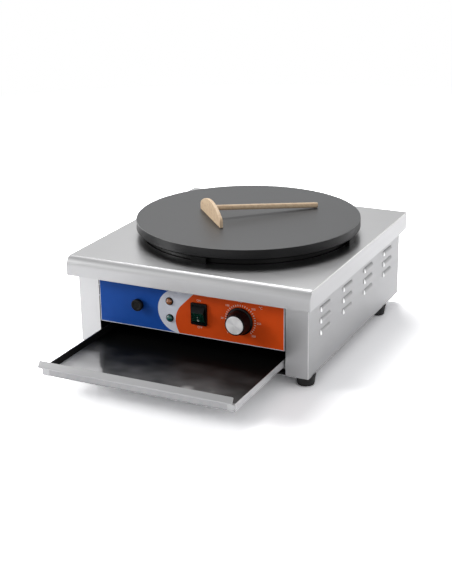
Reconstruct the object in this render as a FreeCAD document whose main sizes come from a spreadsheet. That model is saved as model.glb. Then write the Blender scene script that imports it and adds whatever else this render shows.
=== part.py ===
import FreeCAD, Part
import math
import os
import Sketcher
from FreeCAD import Placement, Rotation, Vector

# Electric crepe maker, in millimetres. The model is drawn with the hot plate's axis at x = 0, y = 0
# and the table at z = 0, then every sub-part is placed by frameShift, so that the origin lies
# under the middle of the whole machine. The front faces -Y.

doc = FreeCAD.newDocument("CrepeMaker")
sheet = doc.addObject("Spreadsheet::Sheet", "Size")

sizes = {
    # Case
    "sheetThickness": 1.2, "footHeight": 18.0, "bodyWidth": 427.0, "backSetback": 214.0,
    "caseHeight": 157.6, "frontSetback": 235.4, "pillarWidth": 40.1, "rearReturn": 15.0,
    "hoodFrontOverhang": 20.6, "hoodSideOverhang": 10.3, "hoodBackOverhang": 10.0,
    "hoodSkirt": 32.5, "hoodBend": 15.0, "hoodEdge": 2.0, "hoodInnerEdge": 0.5,
    "railHeight": 30.0, "railFlange": 15.0,
    # Louvres
    "louvreLength": 44.0, "louvreHeight": 9.0, "louvreLip": 3.0, "louvreStart": 90.0,
    "louvreColumnPitch": 103.0, "louvreRowPitch": 20.1, "louvreTop": 109.5,
    "louvreColumns": 4, "louvreRows": 3, "louvreSkin": 1.1, "louvreArc": 8.0, "louvreFlat": 0.3,
    # Hot plate and what heats it
    "plateRadius": 200.0, "plateRise": 29.5, "plateRim": 18.5, "plateThickness": 10.0,
    "rimWall": 11.0, "rimChamfer": 2.5, "plateEdge": 1.2,
    "panRadius": 186.0, "panDepth": 50.0, "panSheet": 1.2, "panFlange": 8.0, "panClearance": 2.5,
    "supportWidth": 27.0, "supportSheet": 2.0, "supportDepth": 8.0, "supportGap": 1.5, "supportCount": 4,
    "elementTube": 4.0, "outerRing": 150.0, "innerRing": 95.0, "ringOpening": 30.0,
    "elementLeg": 58.0, "legClearance": 0.5, "clampCount": 3, "clampReach": 122.5,
    "clampLength": 85.0, "clampWidth": 20.0, "clampSheet": 2.0, "bossRadius": 8.0,
    "clampBolt": 3.0, "boltHead": 5.2, "boltHeadHeight": 4.0, "boltDepth": 8.0,
    "elementGap": 0.15, "insulation": 25.0, "insulationGap": 1.0,
    "bulbRadius": 3.0, "bulbLength": 80.0, "bulbSetback": 40.0, "clipWidth": 14.0, "clipSheet": 1.5,
    "capillaryRadius": 1.0, "capillaryBend": 8.0, "capillaryHole": 4.0, "capillaryRun": 24.0,
    "capillaryDrop": 14.0,
    # Control panel and its label
    "panelGap": 1.6, "panelBottom": 42.7, "panelFlange": 10.0, "labelHeight": 102.3,
    "labelThickness": 0.4, "labelInset": 0.4, "labelBorder": 1.0,
    "leftArcCentre": -20.5, "leftArcHeight": 82.1, "leftArcRadius": 38.2,
    "rightArcCentre": 13.7, "rightArcHeight": 66.1, "rightArcRadius": 39.5, "rightArcSlant": 45.0,
    # Reset button
    "resetCentre": -94.7, "resetHeight": 84.9, "resetRadius": 10.5, "resetReach": 10.0,
    "resetTravel": 2.5, "resetWall": 1.3, "resetStem": 2.5, "resetCup": 5.0,
    "resetChamfer": 1.0, "resetStemIn": 10.0, "resetBore": 15.0,
    "collarRadius": 8.0, "collarThread": 5.0, "collarHeight": 2.0, "resetBodyWidth": 36.0,
    "resetBodyDepth": 30.0,
    # Lamps
    "lampCentre": -36.4, "lampUpper": 98.2, "lampLower": 68.4, "lampRadius": 7.0,
    "lampBezel": 0.8, "lampBezelHeight": 1.6, "lampTaper": 0.4, "lampBarrel": 4.9, "lampDepth": 22.0,
    "lampSeat": 1.0, "lampDome": 4.0, "lampSphere": 7.0,
    # Rocker switch
    "switchCentre": 19.2, "switchHeight": 84.1, "bezelWidth": 29.0, "bezelHeight": 38.0,
    "bezelReach": 3.6, "bezelCorner": 2.0, "housingWidth": 27.0, "housingHeight": 34.0,
    "housingDepth": 28.0, "pocketWidth": 24.0, "pocketHeight": 30.0, "pocketDepth": 12.0,
    "rockerGap": 0.4, "rockerHalf": 13.8, "rockerApex": 13.0, "rockerRidge": 3.5, "rockerEnd": 5.5,
    "rockerPivot": 2.0, "rockerBack": 5.0, "rockerBackHalf": 6.9, "rockerTilt": 5.0, "windowSkin": 2.5,
    "rockerPin": 1.5, "pinReach": 0.8, "pinSpare": 0.2, "switchTabs": 6.0,
    # Thermostat and dial
    "dialCentre": 93.8, "dialHeight": 83.4, "dialRadius": 23.6, "dialNose": 17.4,
    "dialStep": 2.6, "dialSkirt": 4.0, "dialLength": 22.0, "dialGap": 1.0, "faceRadius": 15.3,
    "faceSeat": 1.0, "faceThickness": 1.6, "shaftRadius": 3.0, "shaftFit": 0.05,
    "shaftHole": 5.0, "shaftIn": 14.0, "shaftOut": 15.0, "thermostatWidth": 44.0, "thermostatDepth": 38.0,
    "fixingSpread": 14.0, "fixingScrew": 2.0, "fixingHead": 3.5, "fixingHeadHeight": 0.8, "fixingDepth": 9.0,
    # Drawer
    "trayGap": 2.4, "trayBottom": 14.0, "trayWall": 14.0, "trayLength": 400.0,
    "traySheet": 1.2, "trayOpening": 184.0, "gripReach": 14.0, "gripRise": 5.0, "gripLip": 9.5,
    "gripLean": 7.0, "gripLeg": 11.0, "gripHeel": 0.7, "gripInset": 1.0, "runnerGap": 1.0,
    "runnerReach": 12.0, "runnerGuide": 12.0, "runnerSheet": 1.5, "runnerBackGap": 12.0,
    # Feet and screws
    "footTop": 17.0, "footFoot": 14.2, "footInset": 14.0, "footFrontInset": 23.4,
    "footBackInset": 79.0, "footHole": 12.0, "footScrew": 2.5, "footScrewHead": 5.0,
    "footScrewHeadHeight": 3.0, "screwClearance": 0.1, "tipGap": 1.0, "cutSpare": 1.0,
    "rearScrew": 1.9, "rearScrewHead": 3.6, "rearScrewCrown": 2.5, "rearScrewHeadHeight": 2.2,
    "rearScrewLength": 7.0, "rearScrewInset": 8.0, "rearScrewFirst": 24.0, "rearScrewPitch": 52.0,
    "rearScrewCount": 3,
    # Supply side
    "glandInset": 63.5, "glandHeight": 85.0, "glandBore": 5.0, "glandThread": 8.0,
    "glandHex": 12.0, "glandHexHeight": 6.0, "glandDome": 10.5, "glandDomeHeight": 15.0, "glandNose": 7.9,
    "glandInside": 14.0, "glandNutHeight": 5.0, "earthInset": 63.5, "earthHeight": 22.0,
    "earthStud": 3.0, "earthOut": 12.0, "earthIn": 12.0, "earthNut": 5.2, "earthNutHeight": 5.0,
    "blockWidth": 48.0, "blockDepth": 20.0, "blockHeight": 18.0, "blockInset": 85.5,
    "blockSetback": 36.0, "leadRadius": 1.4, "leadBend": 14.0, "leadLift": 36.0, "leadDrop": 22.0,
    "leadSpread": 10.0, "leadRun": 42.0, "leadStep": 8.0, "linkWidth": 7.0, "linkThickness": 2.0,
    # Spreader lying on the plate
    "bladeLength": 128.0, "bladeHeight": 32.0, "bladeEnd": 14.0, "bladeArc": 122.8,
    "bladeThickness": 6.0, "bladeEdge": 1.2, "handleRadius": 4.8, "handleTenon": 4.0, "tenonInset": 0.2,
    "handleLength": 201.7, "handleSeat": 18.7, "handleShoulder": 0.35, "spreaderGap": 0.3,
    "spreaderSide": -54.6, "spreaderFront": -44.3, "spreaderTurn": 42.0,
}
for line, (alias, size) in enumerate(sizes.items(), start=1):
    sheet.set(f"A{line}", str(size))
    sheet.setAlias(f"A{line}", alias)
doc.recompute()

# An edge this near a plane lies on it
touch = 0.1

# Places that several sub-parts share, as expressions on the sheet
frontPlane = "(-Size.frontSetback)"
backPlane = "Size.backSetback"
halfBody = "(Size.bodyWidth / 2)"
insideHalf = "(Size.bodyWidth / 2 - Size.sheetThickness)"
panelBack = "(Size.sheetThickness - Size.frontSetback)"
labelFront = "(-Size.frontSetback - Size.labelThickness)"
bodyBottom = "Size.footHeight"
floorTop = "(Size.footHeight + Size.sheetThickness)"
hoodTop = "(Size.footHeight + Size.caseHeight)"
hoodUnder = "(Size.footHeight + Size.caseHeight - Size.sheetThickness)"
hoodHalf = "(Size.bodyWidth / 2 + Size.hoodSideOverhang)"
hoodFront = "(-Size.frontSetback - Size.hoodFrontOverhang)"
hoodBack = "(Size.backSetback + Size.hoodBackOverhang)"
openingHalf = "(Size.bodyWidth / 2 - Size.pillarWidth)"
plateTop = f"({hoodTop} + Size.plateRise)"
rimUnder = f"({plateTop} - Size.plateRim)"
plateUnder = f"({plateTop} - Size.plateThickness)"
bossUnder = f"({plateUnder} - 2 * Size.elementTube - 2 * Size.elementGap)"
elementLevel = f"({plateUnder} - Size.elementTube - Size.elementGap)"
panBottom = f"({plateUnder} - Size.panDepth)"
legEnd = f"({elementLevel} - Size.elementLeg)"
bulbLevel = f"({plateUnder} - Size.bulbRadius - Size.elementGap)"
panelHalf = "(Size.bodyWidth / 2 - Size.pillarWidth - Size.panelGap)"
panelLow = "(Size.footHeight + Size.panelBottom)"
shelfLow = "(Size.footHeight + Size.panelBottom + Size.sheetThickness)"
shelfTop = "(Size.footHeight + Size.panelBottom + 2 * Size.sheetThickness)"
trayHalf = "(Size.bodyWidth / 2 - Size.pillarWidth - Size.trayGap)"
glandX = "(Size.glandInset - Size.bodyWidth / 2)"
earthX = "(Size.bodyWidth / 2 - Size.earthInset)"
blockX = "(Size.blockInset - Size.bodyWidth / 2)"
rearInside = "(Size.backSetback - 2 * Size.sheetThickness)"
trayFront = "(-Size.frontSetback - Size.trayOpening)"
trayLow = "(Size.footHeight + Size.trayBottom)"
trayRim = "(Size.footHeight + Size.trayBottom + Size.trayWall)"
dialLevel = "(Size.footHeight + Size.dialHeight)"
resetLevel = "(Size.footHeight + Size.resetHeight)"
switchLevel = "(Size.footHeight + Size.switchHeight)"
glandLevel = "(Size.footHeight + Size.glandHeight)"
earthLevel = "(Size.footHeight + Size.earthHeight)"
glandOut = "(Size.glandHexHeight + Size.glandDomeHeight)"
frontReach = "(Size.frontSetback + Size.trayOpening + Size.gripReach)"
backReach = f"max({hoodBack}; {backPlane} + {glandOut})"
frameShift = f"(({frontReach} - {backReach}) / 2)"

nodes = []


def value(expression):
    """The number that an expression on the sheet gives now."""
    return float(sheet.evalExpression(expression))


def bind(obj, **expressions):
    for key, expression in expressions.items():
        obj.setExpression(key.replace("_", "."), expression)
    return obj


def at(obj, x="0", y="0", z="0"):
    return bind(obj, Placement_Base_x=x, Placement_Base_y=y, Placement_Base_z=z)


def node(obj, name, x="0", y="0", z="0"):
    """Name a finished sub-part and place it in the machine's frame."""
    obj.Label = name
    at(obj, x, f"{y} + {frameShift}", z)
    nodes.append(obj)
    return obj


def mirrorNode(source, objectName, name):
    """The right-hand twin of a placed left-hand sub-part."""
    twin = doc.addObject("Part::Mirroring", objectName)
    twin.Source = source
    twin.Normal = Vector(1, 0, 0)
    twin.Label = name
    nodes.append(twin)
    return twin


# Part primitives and booleans

turns = {"z": Rotation(), "y": Rotation(Vector(1, 0, 0), -90), "x": Rotation(Vector(0, 1, 0), 90)}


def block(name, low, size):
    box = doc.addObject("Part::Box", name)
    bind(box, Length=size[0], Width=size[1], Height=size[2])
    return at(box, *low)


def rod(name, start, radius, length, axis="z"):
    """A cylinder that runs from start towards the positive end of its axis."""
    cylinder = doc.addObject("Part::Cylinder", name)
    bind(cylinder, Radius=radius, Height=length)
    cylinder.Placement.Rotation = turns[axis]
    return at(cylinder, *start)


def cone(name, start, radius, endRadius, length, axis="z"):
    taper = doc.addObject("Part::Cone", name)
    bind(taper, Radius1=radius, Radius2=endRadius, Height=length)
    taper.Placement.Rotation = turns[axis]
    return at(taper, *start)


def hexagon(name, start, inradius, length, axis="z"):
    prism = doc.addObject("Part::Prism", name)
    prism.Polygon = 6
    bind(prism, Circumradius=f"({inradius}) / cos(30)", Height=length)
    prism.Placement.Rotation = turns[axis]
    return at(prism, *start)


def join(name, *shapes):
    fusion = doc.addObject("Part::MultiFuse", name)
    fusion.Shapes = list(shapes)
    fusion.Refine = True
    return fusion


def group(name, *shapes):
    """Separate solids that share one node."""
    compound = doc.addObject("Part::Compound", name)
    compound.Links = list(shapes)
    return compound


def cut(name, base, *tools):
    result = doc.addObject("Part::Cut", name)
    result.Base = base
    result.Tool = tools[0] if len(tools) == 1 else group(name + "Tools", *tools)
    return result


def common(name, *shapes):
    result = doc.addObject("Part::MultiCommon", name)
    result.Shapes = list(shapes)
    return result


# Part Design bodies

def newBody(name):
    return doc.addObject("PartDesign::Body", name)


def originPlane(body, role):
    return next(feature for feature in body.Origin.OriginFeatures if feature.Role == role)


def arcBetween(start, end, radius):
    """A left-turning arc of the given radius from start to end."""
    middle = (start + end) * 0.5
    half = (end - start) * 0.5
    side = Vector(-half.y, half.x, 0).normalize()
    centre = middle + side * math.sqrt(max(radius ** 2 - half.Length ** 2, 0.0))
    circle = Part.Circle(centre, Vector(0, 0, 1), radius)
    first = math.atan2(start.y - centre.y, start.x - centre.x)
    last = math.atan2(end.y - centre.y, end.x - centre.x)
    return Part.ArcOfCircle(circle, first, last)


def outline(body, name, role, corners, arcs=None, lift=None, across=None):
    """A closed sketch through corners, each a pair of expressions. arcs has the radius of each round side."""
    arcs = arcs or {}
    sketch = body.newObject("Sketcher::SketchObject", name)
    sketch.AttachmentSupport = [(originPlane(body, role), "")]
    sketch.MapMode = "FlatFace"
    if lift:
        sketch.setExpression("AttachmentOffset.Base.z", lift)
    if across:
        sketch.setExpression("AttachmentOffset.Base.x", across)
    points = [Vector(value(across), value(up), 0) for across, up in corners]
    count = len(points)
    for index in range(count):
        following = points[(index + 1) % count]
        if index in arcs:
            sketch.addGeometry(arcBetween(points[index], following, value(arcs[index])), False)
        else:
            sketch.addGeometry(Part.LineSegment(points[index], following), False)
    for index in range(count):
        sketch.addConstraint(Sketcher.Constraint("Coincident", index, 2, (index + 1) % count, 1))
    for index, (across, up) in enumerate(corners):
        for kind, expression in (("DistanceX", across), ("DistanceY", up)):
            rule = Sketcher.Constraint(kind, -1, 1, index, 1, value(expression))
            number = sketch.addConstraint(rule)
            sketch.setExpression(f"Constraints[{number}]", expression)
    for index, radius in arcs.items():
        number = sketch.addConstraint(Sketcher.Constraint("Radius", index, value(radius)))
        sketch.setExpression(f"Constraints[{number}]", radius)
    return sketch


def pad(body, name, sketch, length, midplane=False, reverse=False):
    feature = body.newObject("PartDesign::Pad", name)
    feature.Profile = sketch
    feature.setExpression("Length", length)
    feature.Midplane = midplane
    feature.Reversed = reverse
    return feature


def revolve(body, name, sketch, axis="V_Axis", kind="PartDesign::Revolution", angle=360.0):
    feature = body.newObject(kind, name)
    feature.Profile = sketch
    feature.ReferenceAxis = (sketch, [axis])
    feature.Angle = angle
    feature.Midplane = angle < 360
    return feature


def circle(body, name, role, across, up, radius, lift=None):
    sketch = body.newObject("Sketcher::SketchObject", name)
    sketch.AttachmentSupport = [(originPlane(body, role), "")]
    sketch.MapMode = "FlatFace"
    if lift:
        sketch.setExpression("AttachmentOffset.Base.z", lift)
    sketch.addGeometry(Part.Circle(Vector(value(across), value(up), 0), Vector(0, 0, 1), value(radius)),
                       False)
    rules = (("DistanceX", (-1, 1, 0, 3), across), ("DistanceY", (-1, 1, 0, 3), up),
             ("Radius", (0,), radius))
    for kind, places, expression in rules:
        number = sketch.addConstraint(Sketcher.Constraint(kind, *places, value(expression)))
        sketch.setExpression(f"Constraints[{number}]", expression)
    return sketch


def row(body, name, direction, pitch, copies):
    """A row of copies, for one direction of a grid."""
    feature = body.newObject("PartDesign::LinearPattern", name)
    feature.Direction = direction
    feature.Mode = "Spacing"
    feature.setExpression("Offset", pitch)
    feature.setExpression("Occurrences", copies)
    return feature


def fillet(body, name, base, radius, wanted):
    """Round the edges of base whose bounding box passes the test."""
    doc.recompute()
    edges = enumerate(base.Shape.Edges, start=1)
    names = [f"Edge{index}" for index, edge in edges if wanted(edge.BoundBox)]
    feature = body.newObject("PartDesign::Fillet", name)
    feature.Base = (base, names)
    feature.setExpression("Radius", radius)
    return feature


def tube(name, points, radius, bend):
    """A round tube along straight runs, with a tangent arc at each corner."""
    points = [Vector(*[value(part) for part in point]) for point in points]
    radius, bend = value(radius), value(bend)
    edges = []
    start = points[0]
    for before, corner, after in zip(points, points[1:], points[2:]):
        into = (corner - before).normalize()
        out = (after - corner).normalize()
        turn = into.getAngle(out)
        shorter = min((corner - before).Length, (after - corner).Length)
        setback = min(bend * math.tan(turn / 2), 0.45 * shorter)
        first = corner - into * setback
        last = corner + out * setback
        towards = (out - into).normalize()
        arcRadius = setback / math.tan(turn / 2)
        middle = corner + towards * (arcRadius / math.cos(turn / 2) - arcRadius)
        edges.append(Part.makeLine(start, first))
        edges.append(Part.Arc(first, middle, last).toShape())
        start = last
    edges.append(Part.makeLine(start, points[-1]))
    path = Part.Wire(edges)
    direction = (points[1] - points[0]).normalize()
    section = Part.Wire([Part.makeCircle(radius, points[0], direction)])
    feature = doc.addObject("Part::Feature", name)
    feature.Shape = path.makePipeShell([section], True, False)
    return feature


# Case

def topCover():
    def shell(name, inset, bend, edge):
        """The hood's outside, or its inside when inset by the sheet."""
        body = newBody(name)
        left = f"(-{hoodHalf} + {inset})"
        right = f"({hoodHalf} - {inset})"
        front = f"({hoodFront} + {inset})"
        back = f"({hoodBack} - {inset})"
        low = f"({hoodTop} - Size.hoodSkirt)"
        plan = outline(body, name + "Plan", "XY_Plane",
                       [(left, front), (right, front), (right, back), (left, back)], lift=low)
        solid = pad(body, name + "Solid", plan, f"Size.hoodSkirt - {inset}")
        top, nose = value(f"{hoodTop} - {inset}"), value(front)
        bent = fillet(body, name + "Bend", solid, bend,
                      lambda b: b.ZMin > top - touch and b.YMax < nose + touch)
        corner = value(bend) + touch
        bottom = value(low)

        def sharp(b):
            across = b.XMax - b.XMin
            flatBottom = b.ZMax < bottom + touch
            onFront = across > touch and b.YMax < nose + corner
            return not flatBottom and not onFront
        return fillet(body, name + "Edges", bent, edge, sharp).getParentGeoFeatureGroup()
    outside = shell("hoodOutside", "0", "Size.hoodBend", "Size.hoodEdge")
    inside = shell("hoodInside", "Size.sheetThickness", "Size.hoodBend - Size.sheetThickness",
                   "Size.hoodInnerEdge")
    hole = rod("hoodHole", ("0", "0", f"{hoodTop} - Size.hoodSkirt"), "Size.panRadius + Size.panClearance",
               "Size.hoodSkirt + Size.cutSpare")
    node(cut("topCover", outside, inside, hole), "top_cover")


def sidePanels():
    """Each side is one bent sheet: front pillar, louvred wall and rear return."""
    body = newBody("leftSide")
    wall, inner, pillar = f"-{halfBody}", f"-{insideHalf}", f"-{openingHalf}"
    turn = f"(Size.rearReturn - {halfBody})"
    rearFace = f"({backPlane} - Size.sheetThickness)"
    corners = [(pillar, panelBack), (inner, panelBack), (inner, rearFace), (turn, rearFace),
               (turn, backPlane), (wall, backPlane), (wall, frontPlane), (pillar, frontPlane)]
    plan = outline(body, "sidePlan", "XY_Plane", corners, lift=bodyBottom)
    pad(body, "sideWall", plan, "Size.caseHeight - Size.sheetThickness")

    # One louvre: it rises from a crease along its top and opens downwards. x starts at the wall.
    crease = "(Size.footHeight + Size.louvreTop)"
    lip = f"({crease} - Size.louvreHeight)"
    innerCrease = f"({crease} - Size.louvreSkin)"
    out, innerOut = "-Size.louvreLip", "(Size.louvreSkin - Size.louvreLip)"
    behind = "(2 * Size.sheetThickness)"
    innerArc = "(Size.louvreArc - Size.louvreSkin)"
    middle = f"({hoodFront} + Size.louvreStart)"
    half = "(Size.louvreLength / 2 - Size.louvreLip)"
    flat = "-Size.louvreFlat"
    bulge = [("0", crease), (flat, crease), (out, lip), ("0", lip)]
    hollow = [("0", innerCrease), (flat, innerCrease), (innerOut, lip), ("0", lip)]
    through = [(behind, lip), (behind, innerCrease), (flat, innerCrease), (innerOut, lip)]

    def section(name, points, roundSide, radius, along):
        return outline(body, name, "XZ_Plane", points, {roundSide: radius}, lift=f"-({along})", across=wall)
    ends = (("Front", f"{middle} - {half}"), ("Back", f"{middle} + {half}"))
    first = section("louvreBulge", bulge, 1, "Size.louvreArc", middle)
    parts = [pad(body, "louvreLength", first, f"2 * {half}", midplane=True)]
    for end, place in ends:
        parts.append(revolve(body, f"louvre{end}End",
                             section(f"louvre{end}Bulge", bulge, 1, "Size.louvreArc", place), angle=180))
    opening = body.newObject("PartDesign::Pocket", "louvreOpening")
    opening.Profile = section("louvreSlot", through, 2, innerArc, middle)
    opening.setExpression("Length", f"2 * {half}")
    opening.Midplane = True
    parts.append(opening)
    for end, place in ends:
        inside = section(f"louvre{end}Inside", hollow, 1, innerArc, place)
        parts.append(revolve(body, f"louvre{end}Hollow", inside, kind="PartDesign::Groove", angle=180))
    grid = body.newObject("PartDesign::MultiTransform", "louvreGrid")
    grid.Originals = parts
    columns = row(body, "louvreColumnRow", (plan, ["V_Axis"]), "Size.louvreColumnPitch",
                  "Size.louvreColumns")
    rows = row(body, "louvreRowRow", (first, ["V_Axis"]), "Size.louvreRowPitch", "Size.louvreRows")
    rows.Reversed = True
    grid.Transformations = [columns, rows]
    body.Tip = grid
    holes = [rod("sideHole" + tag, (x, rearFace, z), "Size.rearScrew + Size.screwClearance",
                 "Size.sheetThickness", "y")
             for x, z, tag in rearScrewPlaces() if tag.startswith("Left")]
    panel = node(cut("leftPanel", body, *holes), "side_panel_left")
    mirrorNode(panel, "rightPanel", "side_panel_right")


def rearPanel():
    panel = block("rearSheet", (f"-{insideHalf}", rearInside, bodyBottom),
                  ("2 * " + insideHalf, "Size.sheetThickness", "Size.caseHeight - Size.sheetThickness"))
    holes = [rod("glandHole", (glandX, rearInside, glandLevel), "Size.glandThread + Size.screwClearance",
                 "Size.sheetThickness", "y"),
             rod("earthHole", (earthX, rearInside, earthLevel), "Size.earthStud + Size.screwClearance",
                 "Size.sheetThickness", "y")]
    for x, z, tag in rearScrewPlaces():
        holes.append(rod("rearPanelHole" + tag, (x, rearInside, z), "Size.rearScrew + Size.screwClearance",
                         "Size.sheetThickness", "y"))
    node(cut("rearPanel", panel, *holes), "rear_panel")


def rearScrewPlaces():
    places = []
    for side, name in ((1, "Right"), (-1, "Left")):
        for index in range(int(value("Size.rearScrewCount"))):
            x = f"{side} * ({halfBody} - Size.rearScrewInset)"
            z = f"Size.footHeight + Size.rearScrewFirst + {index} * Size.rearScrewPitch"
            places.append((x, z, f"{name}{index + 1}"))
    return places


def rearScrews():
    screws = []
    for x, z, tag in rearScrewPlaces():
        shank = rod("rearShank" + tag, (x, f"{backPlane} - Size.rearScrewLength", z), "Size.rearScrew",
                    "Size.rearScrewLength", "y")
        head = cone("rearHead" + tag, (x, backPlane, z), "Size.rearScrewHead", "Size.rearScrewCrown",
                    "Size.rearScrewHeadHeight", "y")
        screws.append(join("rearScrew" + tag, shank, head))
    node(group("rearScrews", *screws), "rear_screws")


def basePlate():
    plate = block("baseSheet", (f"-{insideHalf}", panelBack, bodyBottom),
                  ("2 * " + insideHalf, f"{rearInside} - {panelBack}", "Size.sheetThickness"))
    holes = [rod("baseHole" + tag, (x, y, bodyBottom), "Size.footScrew + Size.screwClearance",
                 "Size.sheetThickness")
             for x, y, tag, _ in footPlaces()]
    node(cut("basePlate", plate, *holes), "base_plate")


def footPlaces():
    x = "(Size.bodyWidth / 2 - Size.footInset)"
    front = "(Size.footFrontInset - Size.frontSetback)"
    back = f"({backPlane} - Size.footBackInset)"
    return [(f"-{x}", front, "FrontLeft", "foot_front_left"), (x, front, "FrontRight", "foot_front_right"),
            (f"-{x}", back, "BackLeft", "foot_back_left"), (x, back, "BackRight", "foot_back_right")]


def feet():
    screws = []
    for x, y, tag, name in footPlaces():
        rubber = cone("footRubber" + tag, (x, y, "0"), "Size.footFoot", "Size.footTop", "Size.footHeight")
        hole = rod("footHole" + tag, (x, y, "Size.footHeight - Size.footHole"),
                   "Size.footScrew + Size.screwClearance", "Size.footHole")
        node(cut("foot" + tag, rubber, hole), name)
        shank = rod("footShank" + tag, (x, y, "Size.footHeight - Size.footHole + Size.tipGap"),
                    "Size.footScrew", "Size.footHole + Size.sheetThickness - Size.tipGap")
        head = rod("footHead" + tag, (x, y, floorTop), "Size.footScrewHead", "Size.footScrewHeadHeight")
        screws.append(join("footScrew" + tag, shank, head))
    node(group("footScrews", *screws), "foot_screws")


def frontRail():
    low = f"({hoodUnder} - Size.railHeight)"
    web = block("railWeb", (f"-{insideHalf}", panelBack, low),
                ("2 * " + insideHalf, "Size.sheetThickness", "Size.railHeight"))
    flange = block("railFlange", (f"-{insideHalf}", panelBack, f"{hoodUnder} - Size.sheetThickness"),
                   ("2 * " + insideHalf, "Size.railFlange", "Size.sheetThickness"))
    node(join("frontRail", web, flange), "front_rail")


def dividerShelf():
    low = (f"-{insideHalf}", panelBack, shelfLow)
    shelf = block("shelfSheet", low, ("2 * " + insideHalf, f"{rearInside} - {panelBack}",
                                      "Size.sheetThickness"))
    node(shelf, "divider_shelf", *low)


# Hot plate and what heats it

def hotPlate():
    body = newBody("hotPlate")
    rimInner = "(Size.plateRadius - Size.rimWall)"
    edge = "(Size.plateRadius - Size.plateEdge)"
    chamfered = "(Size.plateRadius - Size.rimChamfer)"
    side = "Size.plateRadius"
    profile = [("0", plateUnder), (rimInner, plateUnder), (rimInner, rimUnder), (chamfered, rimUnder),
               (side, f"{rimUnder} + Size.rimChamfer"), (side, f"{plateTop} - Size.plateEdge"),
               (edge, plateTop), ("0", plateTop)]
    half = outline(body, "plateProfile", "XZ_Plane", profile, {5: "Size.plateEdge"})
    revolve(body, "plateDisc", half)
    doc.recompute()
    spot = circle(body, "bossSpot", "XY_Plane", "0", "-Size.clampReach", "Size.bossRadius", lift=plateUnder)
    boss = pad(body, "plateBoss", spot, f"{plateUnder} - {bossUnder}", reverse=True)
    hole = circle(body, "bossHoleSpot", "XY_Plane", "0", "-Size.clampReach",
                  "Size.clampBolt + Size.screwClearance", lift=bossUnder)
    thread = body.newObject("PartDesign::Pocket", "bossHole")
    thread.Profile = hole
    thread.setExpression("Length", "Size.boltDepth")
    thread.Reversed = True
    bosses = body.newObject("PartDesign::PolarPattern", "plateBosses")
    bosses.Originals = [boss, thread]
    bosses.Axis = (half, ["V_Axis"])
    bosses.Angle = 360
    bosses.setExpression("Occurrences", "Size.clampCount")
    body.Tip = bosses
    node(body, "hot_plate")


def elementPan():
    outer = rod("panOuter", ("0", "0", panBottom), "Size.panRadius", "Size.panDepth")
    inner = rod("panInner", ("0", "0", f"{panBottom} + Size.panSheet"), "Size.panRadius - Size.panSheet",
                "Size.panDepth - 2 * Size.panSheet")
    mouth = rod("panMouth", ("0", "0", panBottom + " + Size.panSheet"), "Size.panRadius - Size.panFlange",
                "Size.panDepth")
    node(cut("elementPan", outer, inner, mouth, *serviceHoles("pan", panBottom, "Size.panSheet")),
         "element_pan")


def elementLegs():
    """Where each element's two legs go down: ring radius and the angle from the back."""
    legs = []
    for ring, name in (("Size.outerRing", "Outer"), ("Size.innerRing", "Inner")):
        for side, hand in ((1, "Right"), (-1, "Left")):
            x = f"{side} * {ring} * sin(Size.ringOpening / 2)"
            y = f"{ring} * cos(Size.ringOpening / 2)"
            legs.append((x, y, name + hand))
    return legs


def capillaryPlace():
    return ("(Size.bulbLength / 2 + Size.capillaryRun)", "(-Size.bulbSetback)")


def serviceHoles(name, low, depth):
    """Holes through the pan or the insulation for the element legs and the capillary."""
    holes = [rod(name + "LegHole" + tag, (x, y, low), "Size.elementTube + Size.legClearance", depth)
             for x, y, tag in elementLegs()]
    x, y = capillaryPlace()
    holes.append(rod(name + "CapillaryHole", (x, y, low), "Size.capillaryHole", depth))
    return holes


def insulation():
    low = f"({panBottom} + Size.panSheet)"
    blanket = rod("blanketDisc", ("0", "0", low), "Size.panRadius - Size.panSheet - Size.insulationGap",
                  "Size.insulation")
    node(cut("blanket", blanket, *serviceHoles("blanket", low, "Size.insulation")), "insulation_blanket")


def elements():
    for ring, name in (("Size.outerRing", "Outer"), ("Size.innerRing", "Inner")):
        hoop = doc.addObject("Part::Torus", "hoop" + name)
        bind(hoop, Radius1=ring, Radius2="Size.elementTube", Angle3="360 - Size.ringOpening")
        at(hoop, "0", "0", elementLevel)
        spin(hoop, "90 + Size.ringOpening / 2")
        parts = [hoop]
        for x, y, tag in elementLegs():
            if tag.startswith(name):
                elbow = doc.addObject("Part::Sphere", "elbow" + tag)
                bind(elbow, Radius="Size.elementTube")
                parts.append(at(elbow, x, y, elementLevel))
                parts.append(rod("leg" + tag, (x, y, legEnd), "Size.elementTube", "Size.elementLeg"))
        node(join("element" + name, *parts), "element_" + name.lower())


def clamps():
    bars, bolts = [], []
    barUnder = f"({bossUnder} - Size.clampSheet)"
    for index in range(int(value("Size.clampCount"))):
        turn = f"{index} * 360 / Size.clampCount - 90"
        tag = str(index + 1)
        low = ("Size.clampReach - Size.clampLength / 2", "-Size.clampWidth / 2", barUnder)
        bar = block("barStrip" + tag, low, ("Size.clampLength", "Size.clampWidth", "Size.clampSheet"))
        middle = ("Size.clampReach", "0", barUnder)
        hole = rod("barHole" + tag, middle, "Size.clampBolt + Size.screwClearance", "Size.clampSheet")
        bars.append(spin(cut("clampBar" + tag, bar, hole), turn))
        head = hexagon("boltHead" + tag, ("Size.clampReach", "0", f"{barUnder} - Size.boltHeadHeight"),
                       "Size.boltHead", "Size.boltHeadHeight")
        shank = rod("boltShank" + tag, middle, "Size.clampBolt",
                    "Size.clampSheet + Size.boltDepth - Size.tipGap")
        bolts.append(spin(join("clampBolt" + tag, head, shank), turn))
    node(group("clampBars", *bars), "clamp_bars")
    node(group("clampBolts", *bolts), "clamp_bolts")


def spin(obj, angle):
    """Turn a finished shape about the hot plate's axis."""
    obj.Placement.Rotation = Rotation(Vector(0, 0, 1), 1)
    return bind(obj, Placement_Rotation_Angle=angle)


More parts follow.
